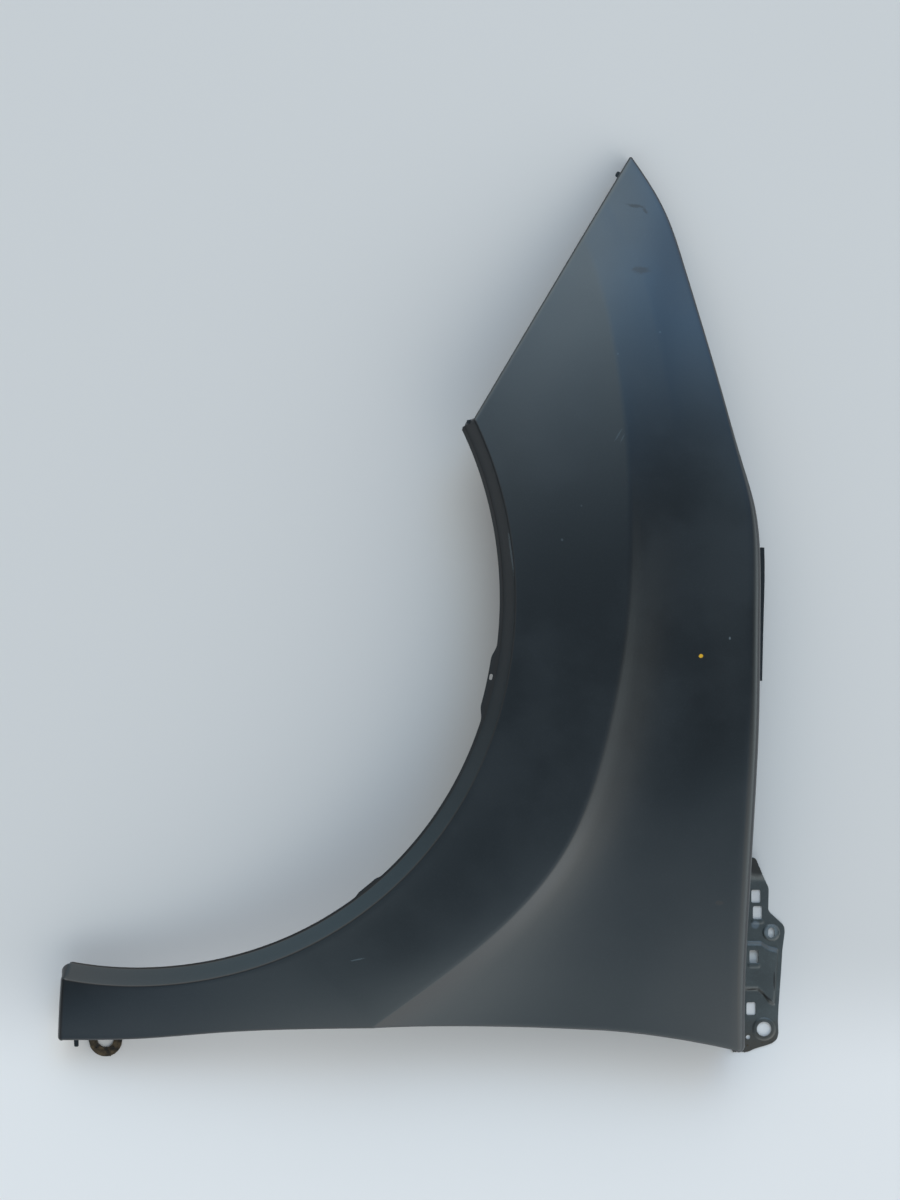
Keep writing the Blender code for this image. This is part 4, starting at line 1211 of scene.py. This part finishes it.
@dataclass(frozen=True)
class DriedMud:
    """Dried road mud caked on the coat: matt, crumbly and mottled brown, so it hides the primer's gloss."""

    name: str
    colours: tuple[str, str, str] = ("#1C1813", "#3B2F20", "#5A4A35")
    stops: tuple[float, float, float] = (0.38, 0.5, 0.66)
    grain_mm: float = 6.0
    grain_depth: float = 0.0006
    grain_strength: float = 0.8
    roughness: float = 0.85

    def build(self) -> bpy.types.Material:
        """Make the mud as a material."""
        material, shader = new_material(self.name)
        tree = material.node_tree
        place = add_node(tree, "ShaderNodeTexCoord").outputs["Object"]
        noise = add_node(tree, "ShaderNodeTexNoise", {"Scale": 1000 / self.grain_mm, "Detail": 6.0},
                         {"Vector": place})
        ramp = add_node(tree, "ShaderNodeValToRGB", links={0: noise.outputs[0]})
        stops = ramp.color_ramp.elements
        stops[0].position, stops[1].position = self.stops[0], self.stops[2]
        stops[0].color, stops[1].color = linear(self.colours[0]), linear(self.colours[2])
        stops.new(self.stops[1]).color = linear(self.colours[1])
        tree.links.new(ramp.outputs[0], shader.inputs["Base Color"])
        shader.inputs["Roughness"].default_value = self.roughness
        bump = add_node(tree, "ShaderNodeBump",
                        {"Strength": self.grain_strength, "Distance": self.grain_depth},
                        {"Height": noise.outputs[0]})
        tree.links.new(bump.outputs[0], shader.inputs["Normal"])
        return material


@dataclass(frozen=True)
class StudioFloor:
    """A matt pale sheet under the part, for the part's shadow, with painted light: its colour grows lighter
    towards its near end.
    """

    far_colour: str = "#CEC7C3"
    lit_near_colour: str = "#E3DBD7"
    change: tuple[float, float] = (-0.34, -0.5)
    roughness: float = 0.9
    specular: float = 0.1
    half_size: float = 20.0

    def build(self) -> bpy.types.Object:
        """Make the floor and its material."""
        material, shader = new_material("matt_paper")
        tree = material.node_tree
        place = add_node(tree, "ShaderNodeTexCoord").outputs["Object"]
        split = add_node(tree, "ShaderNodeSeparateXYZ", links={0: place})
        far, near = self.change
        share = add_node(tree, "ShaderNodeMapRange", {"From Min": far, "From Max": near},
                         {"Value": split.outputs["Y"]}, interpolation_type="SMOOTHSTEP")
        # Painted light: the colour runs along Y from the far colour to the lighter near colour, a painted
        # pool of light on the floor.
        painted_light_tone = add_node(tree, "ShaderNodeMix", {6: linear(self.far_colour), 7: linear(self.lit_near_colour)},
                        {0: share.outputs[0]}, data_type="RGBA")
        tree.links.new(painted_light_tone.outputs[2], shader.inputs["Base Color"])
        shader.inputs["Roughness"].default_value = self.roughness
        shader.inputs["Specular IOR Level"].default_value = self.specular
        ends = (-self.half_size, self.half_size)
        sheet = SheetMesh()
        sheet.grid(np.array([[(x, y, 0.0) for y in ends] for x in ends]))
        floor = sheet.to_object("floor")
        floor.data.materials.append(material)
        return floor


@dataclass(frozen=True)
class SoftLight:
    """One soft round area of light in the studio's dome.

    Its tilt is off straight up and its turn is from +X towards +Y, both in degrees. The higher its
    focus, the smaller it is: where it falls to half, 30 is about 25 degrees across and 10 about 43.
    """

    tilt: float
    turn: float
    focus: float
    colour: tuple[float, float, float]

    @property
    def aim(self) -> tuple[float, float, float]:
        """Unit direction towards the middle of the light."""
        tilt, turn = radians(self.tilt), radians(self.turn)
        return sin(tilt) * cos(turn), sin(tilt) * sin(turn), cos(tilt)


@dataclass(frozen=True)
class Studio:
    """A pale room round a dark camera stand, as a glossy dark panel needs to show its form.

    Straight up it is dark. The nose faces a cool window, the arch's flank a warmer one, and the hood
    edge and the door edge face pale walls.
    """

    dark: tuple[float, float, float] = (0.01, 0.01, 0.01)
    lights: tuple[SoftLight, ...] = (
        SoftLight(22, 120, 30, (0.2, 0.35, 0.5)),
        SoftLight(22, 300, 30, (0.3, 0.5, 0.7)),
        SoftLight(47, 62, 40, (0.0, 1.0, 2.6)),
        SoftLight(45, 90, 20, (2.5, 3.3, 3.7)),
        SoftLight(45, 135, 20, (1.4, 1.2, 1.0)),
        SoftLight(45, 225, 20, (0.2, 0.4, 0.6)),
        SoftLight(45, 270, 20, (1.1, 1.4, 1.5)),
        SoftLight(45, 315, 20, (1.3, 1.35, 1.3)),
        SoftLight(70, 0, 12, (0.2, 0.3, 0.3)),
        SoftLight(70, 45, 12, (0.7, 0.8, 0.9)),
        SoftLight(70, 90, 12, (1.3, 1.2, 1.1)),
        SoftLight(70, 135, 12, (0.8, 0.8, 0.8)),
        SoftLight(70, 225, 12, (0.6, 0.6, 0.6)),
        SoftLight(70, 270, 12, (1.1, 1.1, 1.1)),
        SoftLight(70, 315, 12, (1.5, 1.6, 1.7)),
        SoftLight(90, 0, 10, (2.1, 2.4, 2.5)),
        SoftLight(90, 45, 10, (0.6, 0.5, 0.5)),
        SoftLight(90, 135, 10, (0.0, 0.5, 0.8)),
        SoftLight(90, 270, 10, (0.4, 0.4, 0.4)),
        SoftLight(90, 315, 10, (0.9, 1.0, 1.0)),
    )

    def build(self) -> bpy.types.World:
        """Make the world: each light is a bell curve about its own direction."""
        world = bpy.data.worlds.new("studio_dome")
        world.use_nodes = True
        tree = world.node_tree
        background = tree.nodes["Background"]
        look = add_node(tree, "ShaderNodeTexCoord").outputs["Generated"]
        total = add_node(tree, "ShaderNodeCombineXYZ", dict(enumerate(self.dark))).outputs[0]
        for light in self.lights:
            dot = add_node(tree, "ShaderNodeVectorMath", {1: light.aim}, {0: look}, operation="DOT_PRODUCT")
            near = add_node(tree, "ShaderNodeMath", {1: light.focus, 2: -light.focus},
                            {0: dot.outputs["Value"]}, operation="MULTIPLY_ADD")
            bell = add_node(tree, "ShaderNodeMath", links={0: near.outputs[0]}, operation="EXPONENT")
            lit = add_node(tree, "ShaderNodeVectorMath", {0: light.colour}, {"Scale": bell.outputs[0]},
                           operation="SCALE")
            total = add_node(tree, "ShaderNodeVectorMath", links={0: lit.outputs[0], 1: total},
                             operation="ADD").outputs[0]
        tree.links.new(total, background.inputs["Color"])
        bpy.context.scene.world = world
        return world


@dataclass(frozen=True)
class PhotoCamera:
    """A camera two metres over the part, looking straight down as the photograph looks at it."""

    place: tuple[float, float, float] = (0.02673, 0.00893, 2.0)
    focal_px: float = 1919.0
    height_px: float = 1200.0
    sensor: float = 24.0

    def build(self) -> bpy.types.Object:
        """Make the camera and set it as the scene's."""
        camera = link_object("photo_camera", bpy.data.cameras.new("photo_camera"))
        camera.data.sensor_fit = "VERTICAL"
        camera.data.sensor_height = self.sensor
        camera.data.lens = self.sensor * self.focal_px / self.height_px
        camera.location = self.place
        bpy.context.scene.camera = camera
        return camera


def add_wear(mesh: bpy.types.Mesh, full_radius: float = 0.0025, most: float = 0.3) -> None:
    """Store how tightly the surface turns outwards, since such edges lose their gloss first.

    Args:
        mesh: The finished piece.
        full_radius: Radius of an edge that is fully rubbed.
        most: The wear of such an edge, from 0 to 1.
    """
    count = len(mesh.vertices)
    points, normals = np.empty(count * 3), np.empty(count * 3)
    mesh.vertices.foreach_get("co", points)
    mesh.vertex_normals.foreach_get("vector", normals)
    points, normals = points.reshape(-1, 3), normals.reshape(-1, 3)
    edges = np.empty(len(mesh.edges) * 2, int)
    mesh.edges.foreach_get("vertices", edges)
    a, b = edges.reshape(-1, 2).T
    span = points[a] - points[b]
    length = np.maximum((span ** 2).sum(axis=1), 1e-10)
    turn = ((normals[a] - normals[b]) * span).sum(axis=1) / length
    total = np.zeros(count)
    for ends in (a, b):
        np.maximum.at(total, ends, turn)
    wear = smooth_step(total * full_radius) * most
    mesh.attributes.new("wear", "FLOAT", "POINT").data.foreach_set("value", wear.astype(np.float32))


def new_tree(name: str, sizes: dict[str, float]) -> Tree:
    """Start a Geometry Nodes tree that takes a geometry and some sizes.

    Args:
        name: What the tree makes.
        sizes: Its inputs beside the geometry, by name. A whole number gets a socket of its own kind.

    Returns:
        The tree, with only its interface.
    """
    tree = bpy.data.node_groups.new(name, "GeometryNodeTree")
    kinds = {label: "NodeSocketInt" if isinstance(size, int) else "NodeSocketFloat"
             for label, size in sizes.items()}
    for label, kind in {"Geometry": "NodeSocketGeometry", **kinds}.items():
        tree.interface.new_socket(label, in_out="INPUT", socket_type=kind)
    tree.interface.new_socket("Geometry", in_out="OUTPUT", socket_type="NodeSocketGeometry")
    return tree


@dataclass
class SpotWelds:
    """A row of resistance spot welds: round pressed-in nuggets with a raised rim, along a flange."""

    radius: float = 0.0026
    rim: float = 0.00022
    pitch: float = 0.026
    button_share: float = 0.8
    button_height: float = 0.07
    facing: tuple[float, float, float] = (1.0, 0.0, -0.07)

    def tree(self, material: bpy.types.Material, sizes: dict[str, float]) -> Tree:
        """Build the Geometry Nodes tree that sets nuggets along an edge path."""
        tree = new_tree("spot_weld_row", sizes)
        given = add_node(tree, "NodeGroupInput").outputs
        path = add_node(tree, "GeometryNodeMeshToCurve", links={"Mesh": given["Geometry"]})
        row = add_node(tree, "GeometryNodeResampleCurve",
                       links={"Curve": path.outputs[0], "Length": given["Pitch"]}, mode="LENGTH")
        circle = add_node(tree, "GeometryNodeCurvePrimitiveCircle", {"Resolution": 20},
                          {"Radius": given["Nugget Radius"]})
        wire = add_node(tree, "GeometryNodeCurvePrimitiveCircle", {"Resolution": 6}, {"Radius": given["Rim"]})
        ring = add_node(tree, "GeometryNodeCurveToMesh",
                        links={"Curve": circle.outputs[0], "Profile Curve": wire.outputs[0]})
        inner = add_node(tree, "ShaderNodeMath", {1: self.button_share}, {0: given["Nugget Radius"]},
                         operation="MULTIPLY")
        button = add_node(tree, "GeometryNodeMeshUVSphere", {"Segments": 16, "Rings": 6},
                          {"Radius": inner.outputs[0]})
        flat = add_node(tree, "GeometryNodeTransform", {"Scale": (1, 1, self.button_height)},
                        {"Geometry": button.outputs[0]})
        nugget = add_node(tree, "GeometryNodeJoinGeometry")
        for part in (ring, flat):
            tree.links.new(part.outputs[0], nugget.inputs[0])
        facing = add_node(tree, "FunctionNodeAlignEulerToVector", {"Vector": self.facing}, axis="Z")
        placed = add_node(tree, "GeometryNodeInstanceOnPoints", links={
            "Points": row.outputs[0], "Instance": nugget.outputs[0], "Rotation": facing.outputs[0]})
        real = add_node(tree, "GeometryNodeRealizeInstances", links={0: placed.outputs[0]})
        coated = add_node(tree, "GeometryNodeSetMaterial", {"Material": material},
                          {"Geometry": real.outputs[0]})
        add_node(tree, "NodeGroupOutput", links={0: coated.outputs[0]})
        return tree

    def build(self, name: str, path: list[Vector], material: bpy.types.Material) -> bpy.types.Object:
        """Set welds along a path.

        Args:
            name: The piece's name.
            path: Points on the flange's outer face.
            material: What the welds are coated with.

        Returns:
            The welds as one plain mesh.
        """
        mesh = bpy.data.meshes.new(name + "_path")
        mesh.from_pydata(path, [(k, k + 1) for k in range(len(path) - 1)], [])
        sizes = {"Pitch": self.pitch, "Nugget Radius": self.radius, "Rim": self.rim}
        return run_tree(name, mesh, self.tree(material, sizes), sizes)


@dataclass
class MudCrumbs:
    """Dried mud flakes that cling round the lower mounting points, in clumps of about 11 mm.

    The flakes are drawn larger than most real ones, up to 2 mm, so that they show.
    """

    size: float = 0.0011
    smallest: tuple[float, float, float] = (0.3, 0.3, 0.15)
    largest: tuple[float, float, float] = (1.0, 1.0, 0.45)
    density: float = 60000.0
    clumps_per_m: float = 90.0
    clump_reach: float = 0.04
    seed: int = 7

    def tree(self, material: bpy.types.Material, sizes: dict[str, float]) -> Tree:
        """Build the Geometry Nodes tree that scatters crumbs over a surface below a line."""
        tree = new_tree("mud_crumbs", sizes)
        given = add_node(tree, "NodeGroupInput").outputs
        place = add_node(tree, "GeometryNodeInputPosition")
        split = add_node(tree, "ShaderNodeSeparateXYZ", links={0: place.outputs[0]})
        clump = add_node(tree, "ShaderNodeTexNoise", {"Scale": self.clumps_per_m, "Detail": 2.0},
                         {"Vector": place.outputs[0]})
        line = add_node(tree, "ShaderNodeMath", {1: -self.clump_reach},
                        {0: clump.outputs[0], 2: given["Upper Line"]}, operation="MULTIPLY_ADD")
        below = add_node(tree, "FunctionNodeCompare", links={0: split.outputs["Y"], 1: line.outputs[0]},
                         operation="LESS_THAN")
        points = add_node(tree, "GeometryNodeDistributePointsOnFaces", links={
            "Mesh": given["Geometry"], "Selection": below.outputs[0], "Density": given["Density"],
            "Seed": given["Seed"]})
        crumb = add_node(tree, "GeometryNodeMeshIcoSphere", {"Subdivisions": 1},
                         {"Radius": given["Crumb Size"]})
        scale = add_node(tree, "FunctionNodeRandomValue", {0: self.smallest, 1: self.largest},
                         {"Seed": given["Seed"]}, data_type="FLOAT_VECTOR")
        placed = add_node(tree, "GeometryNodeInstanceOnPoints", links={
            "Points": points.outputs[0], "Instance": crumb.outputs[0], "Rotation": points.outputs["Rotation"],
            "Scale": scale.outputs[0]})
        real = add_node(tree, "GeometryNodeRealizeInstances", links={0: placed.outputs[0]})
        above = add_node(tree, "ShaderNodeMath", {1: 0.0}, {0: split.outputs["Z"]}, operation="MAXIMUM")
        resting = add_node(tree, "ShaderNodeCombineXYZ", links={
            "X": split.outputs["X"], "Y": split.outputs["Y"], "Z": above.outputs[0]})
        settled = add_node(tree, "GeometryNodeSetPosition",
                           links={0: real.outputs[0], "Position": resting.outputs[0]})
        coated = add_node(tree, "GeometryNodeSetMaterial", {"Material": material},
                          {"Geometry": settled.outputs[0]})
        add_node(tree, "NodeGroupOutput", links={0: coated.outputs[0]})
        return tree

    def build(self, name: str, host: bpy.types.Object, line: float,
              material: bpy.types.Material) -> bpy.types.Object:
        """Scatter crumbs on a piece.

        Args:
            name: The new piece's name.
            host: The finished piece, in its place.
            line: Crumbs lie where Y is below this.
            material: The mud.

        Returns:
            The crumbs as one plain mesh.
        """
        sizes = {"Density": self.density, "Crumb Size": self.size, "Upper Line": line, "Seed": self.seed}
        return run_tree(name, host.data.copy(), self.tree(material, sizes), sizes)


def run_tree(name: str, mesh: bpy.types.Mesh, tree: Tree, sizes: dict[str, float]) -> bpy.types.Object:
    """Run a Geometry Nodes tree and keep its result as a plain mesh.

    Args:
        name: The new piece's name.
        mesh: What the tree works on.
        tree: The tree.
        sizes: The tree's inputs, by name.

    Returns:
        The finished object, with no modifier on it.
    """
    source = link_object(name + "_source", mesh)
    modifier = source.modifiers.new(tree.name, "NODES")
    modifier.node_group = tree
    for socket in tree.interface.items_tree:
        if socket.in_out == "INPUT" and socket.name in sizes:
            modifier[socket.identifier] = sizes[socket.name]
    bpy.context.view_layer.update()
    made = bpy.data.meshes.new_from_object(source.evaluated_get(bpy.context.evaluated_depsgraph_get()))
    bpy.data.objects.remove(source)
    made.name = name
    made.shade_smooth()
    return link_object(name, made)


# A yellow inspection dot with a grey one beside it, dull smudges at the nose, pale specks, scratches,
# a soiled spot by the bracket, and last the pale line where the arch's crease catches the light.
PANEL_MARKS = (
    Mark((0.2760, -0.0467), (0.0026, 0.0024), "#D8A21E", 0.95, ragged=0.2),
    Mark((0.3044, -0.0290), (0.0012, 0.0018), "#7C8488", 0.4, ragged=0.2),
    Mark((0.2172, 0.4125), (0.0105, 0.0021), "#0B0D0F", 0.9, radians(-6), 0.8, 0.15),
    Mark((0.2265, 0.4075), (0.0045, 0.0019), "#0B0D0F", 0.8, radians(-55), 0.8, 0.15),
    Mark((0.2200, 0.3440), (0.0095, 0.0045), "#0D0F12", 0.7, 0.0, 0.8, 0.16),
    Mark((0.2385, 0.2790), (0.0018, 0.0013), "#59636A", 0.25),
    Mark((0.1950, 0.2560), (0.0014, 0.0014), "#59636A", 0.2),
    Mark((0.1377, 0.0686), (0.0013, 0.0016), "#6A7378", 0.25),
    Mark((0.1570, 0.1025), (0.0012, 0.0012), "#6A7378", 0.2),
    Mark((0.1945, 0.1735), (0.0085, 0.0009), "#3B444A", 0.6, radians(58)),
    Mark((0.1985, 0.1700), (0.0060, 0.0007), "#3B444A", 0.5, radians(62)),
    Mark((-0.0650, -0.3480), (0.0090, 0.0008), "#4B5459", 0.6, radians(12)),
    Mark((0.2950, -0.2930), (0.0050, 0.0032), "#2C2118", 0.55),
    Mark((0.0872, 0.0560), (0.0011, 0.0240), "#50585C", 0.5, radians(7), 0.6),
)

# Painted shade over the ramped front end, the bolt slot's seat rubbed pale with a pale bluish spot beside it,
# and painted shade as thin dark lines in the folds round the pad.
BRACKET_MARKS = (
    # Painted shade: the ramped front end is painted almost black, and dulled, where the slope lies in shade.
    Mark((0.3462, -0.2660), (0.0150, 0.0150), "#040505", 1.0, ragged=0.1, dull=0.35),
    Mark((0.3608, -0.3360), (0.0087, 0.0087), "#656B6F", 0.8, ragged=0.1),
    Mark((0.3447, -0.3293), (0.0052, 0.0050), "#565E66", 0.8, ragged=0.2),
    # Painted shade: thin near-black lines laid along the folds round the pad, where shadow falls.
    Mark((0.3640, -0.3876), (0.0014, 0.0125), "#050606", 1.0, ragged=0.2, dull=0.3),
    Mark((0.3410, -0.3965), (0.0072, 0.0013), "#050606", 1.0, radians(6), 0.2, 0.3),
    Mark((0.3566, -0.4045), (0.0090, 0.0014), "#050606", 1.0, radians(-38), 0.2, 0.3),
)


# The Y at which the bracket's coat is fully soiled and where the soil begins, and the Y below which
# crumbs of mud cling. On the ear they cling all over.
BRACKET_SOIL = (-0.452, -0.425)
BRACKET_MUD = -0.432
EAR_MUD = 1.0


def main() -> None:
    """Build and dress the pieces and set the stage."""
    logging.basicConfig(level=logging.INFO, format="%(message)s")
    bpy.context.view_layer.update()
    skin = PressedSkin()
    panel = skin.build()
    low = np.array([vertex.co for vertex in panel.data.vertices]).min(axis=0)
    shift = np.array(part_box("fender_panel")[0]) - low
    LOG.info("wheel centre at %s", shift.round(5))
    bracket, ear = HingeBracket(skin), LowerEar(skin)
    primer = ECoatPrimer("e_coat_primer", marks=PANEL_MARKS).build()
    bracket_primer = ECoatPrimer("e_coat_primer_bracket", colour="#2F3231", worn="#414645", dust_share=0.15,
                                 roughness=0.42, cloud_mm=40, soil_line=BRACKET_SOIL,
                                 marks=BRACKET_MARKS).build()
    mud = DriedMud("dried_road_mud").build()
    plate, strap = bracket.build(), ear.build()
    for item, material, slot, node in ((panel, primer, Slot.PANEL, "fender_panel"),
                                       (plate, bracket_primer, Slot.BRACKET, "hinge_pillar_bracket"),
                                       (strap, mud, Slot.EAR, "lower_ear")):
        item.data.transform(Matrix.Translation(shift))
        add_wear(item.data)
        dress(item, material, node)
    welds = SpotWelds().build("bracket_spot_welds", bracket.weld_path(shift), bracket_primer)
    dress(welds, bracket_primer)
    crumbs = MudCrumbs()
    dress(crumbs.build("ear_mud", strap, EAR_MUD, mud), mud)
    dress(crumbs.build("bracket_mud", plate, BRACKET_MUD, mud), mud)
    StudioFloor().build()
    Studio().build()
    PhotoCamera().build()
    bpy.context.scene.view_settings.view_transform = "Standard"


if __name__ == "__main__":
    main()
